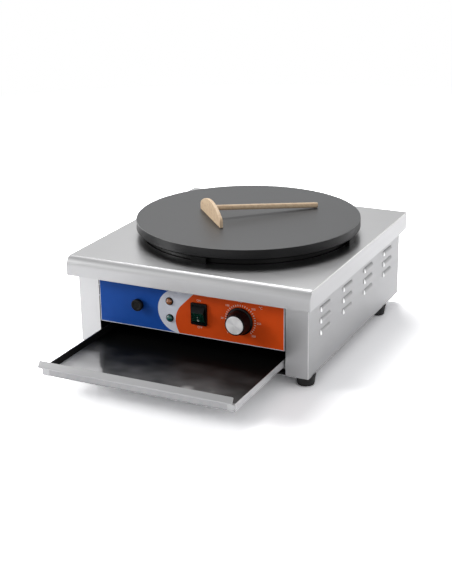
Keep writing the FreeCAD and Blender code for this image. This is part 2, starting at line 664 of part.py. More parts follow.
def plateSupports():
    supports = []
    inner = "(Size.panRadius + Size.panClearance + Size.supportGap)"
    for index in range(int(value("Size.supportCount"))):
        outer = block(f"support{index + 1}Block", (inner, "-Size.supportWidth / 2", hoodTop),
                      ("Size.supportDepth", "Size.supportWidth", f"{rimUnder} - {hoodTop}"))
        hollow = block(f"support{index + 1}Hollow",
                       (f"{inner} - Size.cutSpare", "-Size.supportWidth / 2",
                        f"{hoodTop} + Size.supportSheet"),
                       ("Size.supportDepth - Size.supportSheet + Size.cutSpare", "Size.supportWidth",
                        f"{rimUnder} - {hoodTop} - 2 * Size.supportSheet"))
        supports.append(spin(cut(f"support{index + 1}", outer, hollow),
                             f"{index} * 360 / Size.supportCount - 90"))
    node(group("supports", *supports), "plate_supports")


def bulbAndCapillary():
    start = ("-Size.bulbLength / 2", "-Size.bulbSetback", bulbLevel)
    node(rod("bulb", start, "Size.bulbRadius", "Size.bulbLength", "x"), "thermostat_bulb", *start)
    reach = "(Size.bulbRadius + Size.clipSheet)"
    saddle = block("clipBlock", ("-Size.clipWidth / 2", f"-Size.bulbSetback - 2 * {reach}",
                                 f"{bulbLevel} - {reach}"),
                   ("Size.clipWidth", f"4 * {reach}", f"{plateUnder} - {bulbLevel} + {reach}"))
    groove = rod("clipGroove", ("-Size.clipWidth / 2", "-Size.bulbSetback", bulbLevel),
                 "Size.bulbRadius + Size.elementGap", "Size.clipWidth", "x")
    slot = block("clipSlot", ("-Size.clipWidth / 2",
                              "-Size.bulbSetback - Size.bulbRadius - Size.elementGap", bulbLevel),
                 ("Size.clipWidth", "2 * (Size.bulbRadius + Size.elementGap)",
                  f"{plateUnder} - {bulbLevel}"))
    node(cut("bulbClip", saddle, groove, slot), "bulb_clip")
    x, y = capillaryPlace()
    drop = f"({panBottom} - Size.capillaryDrop)"
    front = f"({panelBack} + Size.thermostatDepth / 2)"
    top = f"({dialLevel} + Size.thermostatWidth / 2)"
    route = [("Size.bulbLength / 2", y, bulbLevel), (x, y, bulbLevel), (x, y, drop),
             ("Size.dialCentre", front, drop),
             ("Size.dialCentre", front, top)]
    node(tube("capillary", route, "Size.capillaryRadius", "Size.capillaryBend"), "capillary_tube")


# Control panel

def controlPanel():
    sheetFront = block("panelSheet", (f"-{panelHalf}", frontPlane, panelLow),
                       ("2 * " + panelHalf, "Size.sheetThickness", f"{hoodUnder} - {panelLow}"))
    flange = block("panelReturn", (f"-{panelHalf}", frontPlane, panelLow),
                   ("2 * " + panelHalf, "Size.panelFlange", "Size.sheetThickness"))
    node(cut("controlPanel", join("panelFolded", sheetFront, flange),
             *panelHoles("panel", frontPlane, "Size.sheetThickness")),
         "control_panel")


def panelHoles(name, start, depth):
    """Holes for the reset bush, lamps, switch, dial shaft and thermostat screws, from start along +Y."""
    holes = [rod(name + "ResetHole", ("Size.resetCentre", start, resetLevel),
                 "Size.collarThread + Size.screwClearance", depth, "y"),
             rod(name + "ShaftHole", ("Size.dialCentre", start, dialLevel), "Size.shaftHole", depth, "y"),
             block(name + "SwitchHole", ("Size.switchCentre - Size.housingWidth / 2", start,
                                         f"{switchLevel} - Size.housingHeight / 2"),
                   ("Size.housingWidth", depth, "Size.housingHeight"))]
    for level, tag in (("Size.lampUpper", "Upper"), ("Size.lampLower", "Lower")):
        holes.append(rod(name + "LampHole" + tag, ("Size.lampCentre", start, f"Size.footHeight + {level}"),
                         "Size.lampBarrel + Size.screwClearance", depth, "y"))
    fixing = "Size.fixingScrew" if name == "panel" else "Size.fixingHead"
    for side, tag in ((1, "Right"), (-1, "Left")):
        holes.append(rod(name + "FixingHole" + tag,
                         (f"Size.dialCentre + {side} * Size.fixingSpread", start, dialLevel),
                         f"{fixing} + Size.screwClearance", depth, "y"))
    return holes


def panelLabel():
    """The label's three colour fields lie side by side: blue, a white crescent with the lamps, and orange."""
    half = f"({panelHalf} - Size.labelInset)"
    low = f"({panelLow} + Size.labelInset)"
    start, depth = labelFront, "Size.labelThickness"

    def whole(name):
        return block(name, (f"-{half}", start, low), ("2 * " + half, depth, "Size.labelHeight"))

    def disc(name, x, z, radius):
        return rod(name, (x, start, f"Size.footHeight + {z}"), radius, depth, "y")
    border = "Size.labelBorder"
    inside = f"({half} - {border})"

    def blueField(name):
        area = block(name + "Area", (f"-{inside}", start, f"{low} + {border}"),
                     (f"{inside} + Size.leftArcCentre", depth, f"Size.labelHeight - {border}"))
        return cut(name, area, disc(name + "Arc", "Size.leftArcCentre", "Size.leftArcHeight",
                                    "Size.leftArcRadius"))

    def orangeField(name):
        """Its left side is an arc that runs on up into a slanting line."""
        bottom, top = f"({low} + {border})", f"({low} + Size.labelHeight)"
        centre, level = "Size.rightArcCentre", "(Size.footHeight + Size.rightArcHeight)"
        radius, slant = "Size.rightArcRadius", "Size.rightArcSlant"
        x, z = f"({centre} - {radius} * sin({slant}))", f"({level} + {radius} * cos({slant}))"
        arcFoot = f"({centre} - sqrt({radius} ^ 2 - ({level} - {bottom}) ^ 2))"
        corners = [(arcFoot, bottom), (inside, bottom), (inside, top),
                   (f"({x} + ({top} - {z}) / tan({slant}))", top), (x, z)]
        body = newBody(name)
        shape = outline(body, name + "Outline", "XZ_Plane", corners, {4: radius}, lift=f"-{start}")
        pad(body, name + "Film", shape, depth, reverse=True)
        return body
    holes = panelHoles("label", start, depth)
    node(cut("labelBlue", blueField("blueField"), *holes), "label_blue")
    node(cut("labelOrange", orangeField("orangeField"), *holes), "label_orange")
    node(cut("labelWhite", whole("labelWhole"), blueField("blueCut"), orangeField("orangeCut"), *holes),
         "label_white")


def resetButton():
    level, centre = resetLevel, "Size.resetCentre"
    bodyHalf = "(Size.resetBodyWidth / 2)"
    housing = block("resetBodyBlock", (f"{centre} - {bodyHalf}", panelBack, f"{level} - {bodyHalf}"),
                    ("Size.resetBodyWidth", "Size.resetBodyDepth", "Size.resetBodyWidth"))
    thread = rod("resetThread", (centre, f"{labelFront} - Size.collarHeight", level), "Size.collarThread",
                 f"{panelBack} - {labelFront} + Size.collarHeight", "y")
    collar = hexagon("resetCollar", (centre, f"{labelFront} - Size.collarHeight", level),
                     "Size.collarRadius * cos(30)", "Size.collarHeight", "y")
    bore = rod("resetBore", (centre, f"{labelFront} - Size.collarHeight", level),
               "Size.resetStem + Size.shaftFit", "Size.resetBore + Size.collarHeight", "y")
    node(cut("resetBody", join("resetBodyJoined", housing, thread, collar), bore), "safety_thermostat")
    tip = f"({labelFront} - Size.resetReach)"
    cupBack = f"({labelFront} - Size.resetTravel - Size.dialGap)"
    cap = rod("capOuter", (centre, f"{tip} + Size.resetChamfer", level), "Size.resetRadius",
              f"{cupBack} - {tip} - Size.resetChamfer", "y")
    nose = cone("capNose", (centre, tip, level), "Size.resetRadius - Size.resetChamfer", "Size.resetRadius",
                "Size.resetChamfer", "y")
    hollow = rod("capHollow", (centre, f"{cupBack} - Size.resetCup", level),
                 "Size.resetRadius - Size.resetWall", "Size.resetCup", "y")
    stem = rod("capStem", (centre, f"{cupBack} - Size.resetCup", level), "Size.resetStem",
               "Size.resetCup + Size.resetStemIn", "y")
    node(join("resetCap", cut("capCup", join("capSolid", cap, nose), hollow), stem), "reset_button")


def lamps():
    for height, tag, colour in (("Size.lampUpper", "Upper", "amber"), ("Size.lampLower", "Lower", "green")):
        x, z = "Size.lampCentre", f"(Size.footHeight + {height})"
        front = f"({labelFront} - Size.lampBezelHeight)"
        barrel = rod("lampBarrel" + tag, (x, labelFront, z), "Size.lampBarrel", "Size.lampDepth", "y")
        ring = cone("lampRing" + tag, (x, front, z), "Size.lampRadius - Size.lampTaper", "Size.lampRadius",
                    "Size.lampBezelHeight", "y")
        seat = rod("lampSeat" + tag, (x, front, z), "Size.lampRadius - Size.lampBezel", "Size.lampSeat",
                   "y")
        node(cut("lampBody" + tag, join("lampJoined" + tag, barrel, ring), seat), f"lamp_body_{colour}")
        lensRadius = "(Size.lampRadius - Size.lampBezel - Size.shaftFit)"
        ball = doc.addObject("Part::Sphere", "lampBall" + tag)
        bind(ball, Radius="Size.lampSphere")
        at(ball, x, f"{front} + Size.lampSeat - Size.lampDome + Size.lampSphere", z)
        core = rod("lampCore" + tag, (x, f"{front} + Size.lampSeat - Size.lampDome", z), lensRadius,
                   "Size.lampDome", "y")
        node(common("lampLens" + tag, ball, core), f"lamp_lens_{colour}")


def rockerSwitch():
    x, z = "Size.switchCentre", switchLevel
    front = f"({labelFront} - Size.bezelReach)"
    body = newBody("switchBezel")
    left, right = f"({x} - Size.bezelWidth / 2)", f"({x} + Size.bezelWidth / 2)"
    low, high = f"({z} - Size.bezelHeight / 2)", f"({z} + Size.bezelHeight / 2)"
    plan = outline(body, "bezelPlan", "XZ_Plane", [(left, low), (right, low), (right, high), (left, high)],
                   lift=f"-{labelFront}")
    solid = pad(body, "bezelSolid", plan, "Size.bezelReach")
    fillet(body, "bezelCorners", solid, "Size.bezelCorner", lambda b: b.YMax - b.YMin > touch)
    doc.recompute()
    housing = block("switchHousing", (f"{x} - Size.housingWidth / 2 + Size.screwClearance", labelFront,
                                      f"{z} - Size.housingHeight / 2 + Size.screwClearance"),
                    ("Size.housingWidth - 2 * Size.screwClearance", "Size.housingDepth",
                     "Size.housingHeight - 2 * Size.screwClearance"))
    pocket = block("switchPocket", (f"{x} - Size.pocketWidth / 2", front, f"{z} - Size.pocketHeight / 2"),
                   ("Size.pocketWidth", "Size.bezelReach + Size.pocketDepth", "Size.pocketHeight"))
    pinHole = rod("rockerPinHole", (f"{x} - Size.pocketWidth / 2 - Size.pinReach - Size.pinSpare",
                                    f"{frontPlane} + Size.rockerPivot", z),
                  "Size.rockerPin + Size.shaftFit",
                  "Size.pocketWidth + 2 * (Size.pinReach + Size.pinSpare)", "x")
    node(cut("switchCase", join("switchJoined", body, housing), pocket, pinHole), "switch_body")

    # The rocker is drawn about its pivot: the sketch's first axis points inwards, the second up
    half, out, end, ridge = "Size.rockerHalf", "-(Size.rockerApex)", "-(Size.rockerEnd)", "Size.rockerRidge"
    innerApex = ("-(Size.rockerApex - Size.windowSkin)", ridge)
    innerEnd = ("-(Size.rockerEnd - Size.windowSkin)", f"-{half}")
    black = [innerEnd, ("Size.rockerBack", "-(Size.rockerBackHalf)"),
             ("Size.rockerBack", "Size.rockerBackHalf"), (end, half), (out, ridge), innerApex]
    green = [(end, f"-{half}"), innerEnd, innerApex, (out, ridge)]
    for corners, name, text in ((black, "rockerBlack", "switch_rocker"),
                                (green, "rockerGreen", "rocker_window")):
        rocker = newBody(name)
        side = outline(rocker, name + "Side", "YZ_Plane", corners)
        pad(rocker, name + "Solid", side, "Size.pocketWidth - 2 * Size.rockerGap", midplane=True)
        doc.recompute()
        shape = rocker
        if name == "rockerBlack":
            pin = rod("rockerPin", ("-Size.pocketWidth / 2 - Size.pinReach", "0", "0"), "Size.rockerPin",
                      "Size.pocketWidth + 2 * Size.pinReach", "x")
            shape = join("rockerWithPin", rocker, pin)
        shape.Placement.Rotation = Rotation(Vector(1, 0, 0), 1)
        bind(shape, Placement_Rotation_Angle="-(Size.rockerTilt)")
        node(shape, text, x, f"{frontPlane} + Size.rockerPivot", z)


def thermostat():
    x, z = "Size.dialCentre", dialLevel
    half = "(Size.thermostatWidth / 2)"
    case = block("thermostatBlock", (f"{x} - {half}", panelBack, f"{z} - {half}"),
                 ("Size.thermostatWidth", "Size.thermostatDepth", "Size.thermostatWidth"))
    bore = rod("thermostatBore", (x, panelBack, z), "Size.shaftRadius + Size.shaftFit",
               "Size.shaftIn + Size.tipGap", "y")
    screwHoles, screws = [], []
    for side, tag in ((1, "Right"), (-1, "Left")):
        place = f"{x} + {side} * Size.fixingSpread"
        screwHoles.append(rod("thermostatHole" + tag, (place, panelBack, z),
                              "Size.fixingScrew + Size.screwClearance",
                              "Size.fixingDepth", "y"))
        shank = rod("fixingShank" + tag, (place, frontPlane, z), "Size.fixingScrew", "Size.fixingDepth",
                    "y")
        head = rod("fixingHead" + tag, (place, f"{frontPlane} - Size.fixingHeadHeight", z),
                   "Size.fixingHead", "Size.fixingHeadHeight", "y")
        screws.append(join("fixing" + tag, shank, head))
    node(cut("thermostatCase", case, bore, *screwHoles), "thermostat_body")
    node(group("fixings", *screws), "thermostat_screws")


def dial():
    x, z = "Size.dialCentre", dialLevel
    back = f"({labelFront} - Size.dialGap)"
    front = f"({back} - Size.dialLength)"
    skirt = rod("dialSkirtDisc", (x, f"{back} - Size.dialSkirt", z), "Size.dialRadius", "Size.dialSkirt",
                "y")
    nose = cone("dialCone", (x, front, z), "Size.dialNose", "Size.dialRadius - Size.dialStep",
                "Size.dialLength - Size.dialSkirt", "y")
    seat = rod("dialSeat", (x, front, z), "Size.faceRadius + Size.shaftFit", "Size.faceSeat", "y")
    socket = rod("dialSocket", (x, f"{back} - Size.shaftOut", z), "Size.shaftRadius + Size.shaftFit",
                 "Size.shaftOut", "y")
    node(cut("dialKnob", join("dialSolid", skirt, nose), seat, socket), "dial_knob")
    end = (x, f"{back} - Size.shaftOut", z)
    shaft = rod("shaft", end, "Size.shaftRadius", f"Size.shaftOut + {panelBack} - {back} + Size.shaftIn",
                "y")
    node(shaft, "thermostat_shaft", *end)
    out = (x, f"{front} + Size.faceSeat - Size.faceThickness", z)
    node(rod("face", out, "Size.faceRadius", "Size.faceThickness", "y"), "dial_face", *out)


# Drawer

def tray():
    wall, length = trayHalf, "Size.trayLength"
    outer = block("trayOuter", (f"-{wall}", trayFront, trayLow), (f"2 * {wall}", length, "Size.trayWall"))
    inner = block("trayInner", (f"Size.traySheet - {wall}", f"{trayFront} + Size.traySheet",
                                f"{trayLow} + Size.traySheet"),
                  (f"2 * ({wall} - Size.traySheet)", f"{length} - 2 * Size.traySheet", "Size.trayWall"))
    node(cut("trayPan", outer, inner), "tray_pan")
    body = newBody("trayGrip")
    steel = "Size.traySheet"
    face = f"({trayFront} - {steel})"
    out = f"({trayFront} - Size.gripReach)"
    high = f"({trayRim} + Size.gripRise)"
    lipTop = f"({high} + Size.gripLip)"
    legFoot = f"({trayRim} - Size.gripLeg)"
    profile = [(trayFront, legFoot), (trayFront, trayRim), (f"{out} + {steel}", high),
               (f"{out} + Size.gripLean + {steel}", lipTop), (f"{out} + Size.gripLean", lipTop),
               (out, f"{high} - Size.gripHeel"), (face, f"{trayRim} - {steel}"), (face, legFoot)]
    side = outline(body, "gripProfile", "YZ_Plane", profile)
    pad(body, "gripSolid", side, f"2 * ({wall} - Size.gripInset)", midplane=True)
    node(body, "tray_grip")


def runners():
    body = newBody("leftRunner")
    thick = "Size.runnerSheet"
    guide = f"({trayHalf} + Size.runnerGap)"
    inner = f"({trayHalf} - Size.runnerReach)"
    top = f"({trayLow} + Size.runnerGuide)"
    under = f"({trayLow} - {thick})"
    shape = [(inner, trayLow), (guide, trayLow), (guide, top), (f"({guide} + {thick})", top),
             (f"({guide} + {thick})", trayLow),
             (f"({insideHalf} - {thick})", trayLow), (f"({insideHalf} - {thick})", top), (insideHalf, top),
             (insideHalf, under), (inner, under)]
    section = outline(body, "runnerSection", "XZ_Plane", [(f"-{across}", up) for across, up in shape],
                      lift=f"-{panelBack}")
    pad(body, "runnerLength", section, f"{rearInside} - {panelBack} - Size.runnerBackGap", reverse=True)
    node(body, "tray_runner_left")
    mirrorNode(body, "rightRunner", "tray_runner_right")


# Supply side

def gland():
    x, z = glandX, glandLevel
    hexagonFlange = hexagon("glandFlange", (x, backPlane, z), "Size.glandHex", "Size.glandHexHeight", "y")
    dome = cone("glandDome", (x, f"{backPlane} + Size.glandHexHeight", z), "Size.glandDome",
                "Size.glandNose", "Size.glandDomeHeight", "y")
    thread = rod("glandThread", (x, f"{rearInside} - Size.glandInside", z), "Size.glandThread",
                 f"{backPlane} - {rearInside} + Size.glandInside", "y")
    bore = rod("glandBore", (x, f"{rearInside} - Size.glandInside", z), "Size.glandBore",
               f"{backPlane} - {rearInside} + Size.glandInside + {glandOut}", "y")
    node(cut("glandBody", join("glandJoined", hexagonFlange, dome, thread), bore), "cable_gland")
    nut = hexagon("glandNutHex", (x, f"{rearInside} - Size.glandNutHeight", z), "Size.glandHex",
                  "Size.glandNutHeight", "y")
    hole = rod("glandNutHole", (x, f"{rearInside} - Size.glandNutHeight", z),
               "Size.glandThread + Size.shaftFit", "Size.glandNutHeight", "y")
    node(cut("glandNut", nut, hole), "gland_nut")


def earthPoint():
    x, z = earthX, earthLevel
    stud = rod("studRod", (x, f"{rearInside} - Size.earthIn", z), "Size.earthStud",
               f"Size.earthIn + {backPlane} - {rearInside} + Size.earthOut", "y")
    inner = hexagon("studInnerNut", (x, f"{rearInside} - Size.earthNutHeight", z), "Size.earthNut",
                    "Size.earthNutHeight", "y")
    outer = hexagon("studOuterNut", (x, f"{rearInside} + Size.sheetThickness", z), "Size.earthNut",
                    "Size.earthNutHeight", "y")
    node(join("earthStud", stud, inner, outer), "earth_stud")


def terminalBlock():
    low = (f"{blockX} - Size.blockWidth / 2", f"{backPlane} - Size.blockSetback - Size.blockDepth",
           shelfTop)
    node(block("terminals", low, ("Size.blockWidth", "Size.blockDepth", "Size.blockHeight")),
         "terminal_block", *low)


def wiring():
    """Leads from the terminal block by way of the switch and thermostat to the elements."""
    blockTop = f"({shelfTop} + Size.blockHeight)"
    blockY = f"({backPlane} - Size.blockSetback - Size.blockDepth / 2)"
    outerX = "(Size.outerRing * sin(Size.ringOpening / 2))"
    outerY = "(Size.outerRing * cos(Size.ringOpening / 2))"
    under = f"({legEnd} - Size.linkThickness)"
    travel = f"({legEnd} - Size.leadDrop)"
    lifted = f"({blockTop} + Size.leadLift)"
    switchBack = f"({labelFront} + Size.housingDepth)"
    thermoBack = f"({panelBack} + Size.thermostatDepth)"
    turning = f"({switchBack} + Size.leadRun)"
    crossing = f"({thermoBack} + 2 * Size.leadBend)"
    neutral, supply = f"{blockX} - Size.leadSpread", f"{blockX} + Size.leadSpread"
    tabIn, tabOut = "Size.switchCentre - Size.switchTabs", "Size.switchCentre + Size.switchTabs"
    switched, live = "Size.dialCentre - Size.leadSpread", "Size.dialCentre + Size.leadSpread"
    routes = {
        "leadNeutral": [(neutral, blockY, blockTop), (neutral, blockY, travel),
                        (f"-{outerX}", outerY, travel), (f"-{outerX}", outerY, under)],
        "leadSupply": [(supply, blockY, blockTop), (supply, blockY, lifted), (supply, turning, lifted),
                       (tabIn, turning, switchLevel), (tabIn, switchBack, switchLevel)],
        "leadSwitched": [(tabOut, switchBack, switchLevel), (tabOut, crossing, switchLevel),
                         (switched, crossing, switchLevel), (switched, thermoBack, switchLevel)],
        "leadLive": [(live, thermoBack, dialLevel), (live, f"{thermoBack} + Size.leadRun", dialLevel),
                     (outerX, outerY, f"{travel} - Size.leadStep"), (outerX, outerY, under)],
    }
    leads = [tube(name, points, "Size.leadRadius", "Size.leadBend") for name, points in routes.items()]
    node(group("leads", *leads), "internal_leads")


def elementLinks():
    """A flat strap joins the outer and inner element legs on each side."""
    straps = []
    for side, tag in ((1, "Right"), (-1, "Left")):
        strap = block("strap" + tag, ("-Size.linkWidth / 2", "-Size.linkWidth / 2",
                                      f"{legEnd} - Size.linkThickness"),
                      ("Size.linkWidth", "Size.outerRing - Size.innerRing + Size.linkWidth",
                       "Size.linkThickness"))
        placed = spin(group("strapPlaced" + tag, strap), f"-{side} * Size.ringOpening / 2")
        at(placed, f"{side} * Size.innerRing * sin(Size.ringOpening / 2)",
           "Size.innerRing * cos(Size.ringOpening / 2)")
        straps.append(placed)
    node(group("straps", *straps), "element_links")


# Spreader, drawn with its handle along +X, then turned as it lies on the plate

def spreader():
    blade = newBody("blade")
    half = "(Size.bladeLength / 2)"
    corners = [(half, "0"), (half, "Size.bladeEnd"), (f"-{half}", "Size.bladeEnd"), (f"-{half}", "0")]
    side = outline(blade, "bladeProfile", "YZ_Plane", corners, {1: "Size.bladeArc"})
    solid = pad(blade, "bladeSolid", side, "Size.bladeThickness")
    fillet(blade, "bladeEdges", solid, "Size.bladeEdge", lambda b: True)
    doc.recompute()
    fall = "(Size.handleSeat - Size.handleRadius - Size.spreaderGap)"
    slope = f"atan({fall} / (Size.handleLength - Size.bladeThickness))"

    def along(name, radius, start, length):
        cylinder = doc.addObject("Part::Cylinder", name)
        bind(cylinder, Radius=radius, Height=length)
        cylinder.Placement.Rotation = Rotation(Vector(0, 1, 0), 90)
        bind(cylinder, Placement_Rotation_Angle=f"90 deg + {slope}")
        return at(cylinder, start, "0",
                  f"Size.handleSeat + (Size.bladeThickness - ({start})) * tan({slope})")
    hole = along("bladeHole", "Size.handleTenon + Size.shaftFit", "-(Size.cutSpare)",
                 "Size.bladeThickness + 2 * Size.cutSpare")
    tenon = along("handleTenonRod", "Size.handleTenon", "Size.tenonInset",
                  "Size.bladeThickness + Size.handleRadius")
    grip = along("handleRod", "Size.handleRadius", "Size.bladeThickness + Size.handleShoulder",
                 f"(Size.handleLength - Size.bladeThickness) / cos({slope})")
    pieces = ((cut("bladeDrilled", blade, hole), "spreader_blade"),
              (join("handle", tenon, grip), "spreader_handle"))
    for shape, text in pieces:
        spin(shape, "Size.spreaderTurn")
        node(shape, text, "Size.spreaderSide", "Size.spreaderFront", plateTop)


def build():
    topCover()
    sidePanels()
    rearPanel()
    rearScrews()
    basePlate()
    feet()
    frontRail()
    dividerShelf()
    hotPlate()
    elementPan()
    insulation()
    elements()
    clamps()
    plateSupports()
    bulbAndCapillary()
    controlPanel()
    panelLabel()
    resetButton()
    lamps()
    rockerSwitch()
    thermostat()
    dial()
    tray()
    runners()
    gland()
    earthPoint()
    terminalBlock()
    wiring()
    elementLinks()
    spreader()


def checkAndWrite():
    doc.recompute()
    for item in doc.Objects:
        if {"Invalid", "Error"} & set(item.State):
            raise RuntimeError(f"{item.Name} failed: {item.State}")
    for item in nodes:
        if item.Shape.isNull() or not item.Shape.isValid() or not item.Shape.Solids:
            raise RuntimeError(f"{item.Label} has no valid solid")
    os.makedirs("parts", exist_ok=True)
    for item in nodes:
        item.Shape.exportStep(os.path.join("parts", item.Label + ".step"))
        box = item.Shape.BoundBox
        print(f"{item.Label}: {len(item.Shape.Solids)} solid, {item.Shape.Volume:.0f} mm3,"
              f" x {box.XMin:.1f} to {box.XMax:.1f}, y {box.YMin:.1f} to {box.YMax:.1f},"
              f" z {box.ZMin:.1f} to {box.ZMax:.1f}")


build()
checkAndWrite()
print(len(nodes), "sub-parts; origin shift", round(value(frameShift), 3))
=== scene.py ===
import math

import bmesh
import bpy
from mathutils import Matrix, Vector


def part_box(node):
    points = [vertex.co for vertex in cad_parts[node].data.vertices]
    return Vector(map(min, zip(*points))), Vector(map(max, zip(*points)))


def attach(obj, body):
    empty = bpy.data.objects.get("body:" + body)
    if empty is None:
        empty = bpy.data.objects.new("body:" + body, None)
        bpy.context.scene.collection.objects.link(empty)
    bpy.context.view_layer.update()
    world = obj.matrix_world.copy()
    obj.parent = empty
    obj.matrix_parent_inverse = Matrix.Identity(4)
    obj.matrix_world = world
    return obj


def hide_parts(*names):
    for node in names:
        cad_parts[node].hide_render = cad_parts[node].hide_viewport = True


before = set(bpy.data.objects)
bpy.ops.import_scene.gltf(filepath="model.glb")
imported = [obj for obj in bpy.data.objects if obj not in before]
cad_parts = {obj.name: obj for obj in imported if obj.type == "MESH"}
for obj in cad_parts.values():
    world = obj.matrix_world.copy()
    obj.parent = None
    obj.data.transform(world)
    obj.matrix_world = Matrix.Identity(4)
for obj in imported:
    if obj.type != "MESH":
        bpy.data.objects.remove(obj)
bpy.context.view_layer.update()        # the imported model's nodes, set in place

scene = bpy.context.scene
print("frame loaded:", len(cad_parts), "nodes")


# Small helpers for building meshes

def corners(node):
    low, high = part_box(node)
    return Vector(low), Vector(high)


def middle(node):
    low, high = corners(node)
    return (low + high) * 0.5


def radiusOf(node):
    low, high = corners(node)
    return (high.x - low.x) / 2


# Points on the arc about a centre, from one spoke to another
def arcPoints(centre, first, last, steps):
    turn = math.atan2(first.x * last.y - first.y * last.x, first.dot(last))
    return [centre + Matrix.Rotation(turn * step / steps, 2) @ first for step in range(steps + 1)]


# Rounds the corners of a 2D line: each point is (a, b) or (a, b, radius)
def softLine(points, steps=5, closed=False):
    line = []
    count = len(points)
    for index, point in enumerate(points):
        here = Vector(point[:2])
        radius = point[2] if len(point) > 2 else 0.0
        atEnd = index in (0, count - 1) and not closed
        if radius <= 0 or atEnd:
            line.append(here)
            continue
        before = (Vector(points[index - 1][:2]) - here).normalized()
        after = (Vector(points[(index + 1) % count][:2]) - here).normalized()
        half = before.angle(after) / 2
        reach = radius / math.tan(half)
        centre = here + (before + after).normalized() * (radius / math.sin(half))
        line += arcPoints(centre, here + before * reach - centre, here + after * reach - centre, steps)
    return line


# A strip of sheet seen edge on: the line is its middle, and the result its closed outline
def stripOutline(line, thickness):
    sides = ([], [])
    for index, point in enumerate(line):
        before = line[max(index - 1, 0)]
        after = line[min(index + 1, len(line) - 1)]
        along = (after - before).normalized()
        out = Vector((-along.y, along.x)) * thickness / 2
        sides[0].append(point + out)
        sides[1].append(point - out)
    return sides[0] + sides[1][::-1]


def addObject(name, data):
    obj = bpy.data.objects.new(name, data)
    scene.collection.objects.link(obj)
    return obj


def meshObject(name, bm):
    mesh = bpy.data.meshes.new(name)
    bm.to_mesh(mesh)
    bm.free()
    return addObject(name, mesh)


# The mesh that an object's modifiers, or its type, come to
def settledMesh(obj):
    bpy.context.view_layer.update()
    return bpy.data.meshes.new_from_object(obj.evaluated_get(bpy.context.evaluated_depsgraph_get()))


# A new piece. surfaces names its materials, and pick(face) gives the number of a face's own.
def newObject(name, bm, surfaces, body, standsFor=(), sharp=35, pick=None):
    bmesh.ops.remove_doubles(bm, verts=bm.verts, dist=1e-6)
    bmesh.ops.recalc_face_normals(bm, faces=bm.faces)
    if pick:
        bm.normal_update()
        for face in bm.faces:
            face.material_index = pick(face)
    obj = meshObject(name, bm)
    for surface in surfaces.split():
        obj.data.materials.append(finishes[surface])
    for face in obj.data.polygons:
        face.use_smooth = True
    obj.data.set_sharp_from_angle(angle=math.radians(sharp))
    even = obj.modifiers.new("evenNormals", "WEIGHTED_NORMAL")        # keeps the large faces flat
    even.keep_sharp = True
    even.weight = 90
    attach(obj, body)
    if standsFor:
        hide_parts(*standsFor)
    return obj


# Faces between two rings of points, either of which may be a single point
def joinRings(bm, lower, upper):
    count = max(len(lower), len(upper))
    for index in range(count):
        after = (index + 1) % count
        spots = (lower[index % len(lower)], lower[after % len(lower)],
                 upper[after % len(upper)], upper[index % len(upper)])
        bm.faces.new(list(dict.fromkeys(spots)))


# Turns a profile of (radius, height) about an axis through origin: up, or out of the front
def lathe(profile, origin, axis="up", steps=128, bm=None):
    bm = bm or bmesh.new()
    turn = {"up": Matrix.Identity(3), "front": Matrix.Rotation(math.radians(90), 3, "X")}[axis]
    rings = []
    for radius, height in profile:
        angles = [2 * math.pi * step / steps for step in range(steps if radius > 1e-7 else 1)]
        spots = [Vector((radius * math.cos(angle), radius * math.sin(angle), height)) for angle in angles]
        rings.append([bm.verts.new(origin + turn @ spot) for spot in spots])
    for lower, upper in zip(rings, rings[1:]):
        joinRings(bm, lower, upper)
    return bm


# A closed 2D outline pushed from low to high: one in y, z along x, or one in x, z along y
def prism(outline, low, high, axis="x", bm=None):
    bm = bm or bmesh.new()
    first, last = ([bm.verts.new((along, a, b) if axis == "x" else (a, along, b)) for a, b in outline]
                   for along in (low, high))
    bm.faces.new(first[::-1])
    bm.faces.new(last)
    joinRings(bm, first, last)
    return bm


def bevelSharp(bm, width, segments=2, degrees=30, wanted=lambda edge: True):
    bm.normal_update()
    edges = [edge for edge in bm.edges if edge.is_manifold and wanted(edge)
             and edge.calc_face_angle(0) > math.radians(degrees)]
    bmesh.ops.bevel(bm, geom=edges, offset=width, segments=segments, profile=0.5, affect="EDGES",
                    clamp_overlap=True)


# Shader nodes and the materials. What is the same all over is set on the shader itself.

def addNode(tree, kind, values=(), **settings):
    made = tree.nodes.new(kind)
    for key, value in settings.items():
        setattr(made, key, value)
    for socket, value in dict(values).items():
        made.inputs[socket].default_value = value
    return made


def connect(tree, *pairs):
    for source, target in pairs:
        tree.links.new(source, target)


def colourRamp(tree, source, stops):
    ramp = addNode(tree, "ShaderNodeValToRGB")
    band = ramp.color_ramp.elements
    for index, (place, colour) in enumerate(stops):
        stop = band[index] if index < 2 else band.new(place)
        stop.position = place
        stop.color = (*colour, 1.0)
    connect(tree, (source, ramp.inputs["Fac"]))
    return ramp.outputs["Color"]


def greys(stops):
    return [(place, (level, level, level)) for place, level in stops]


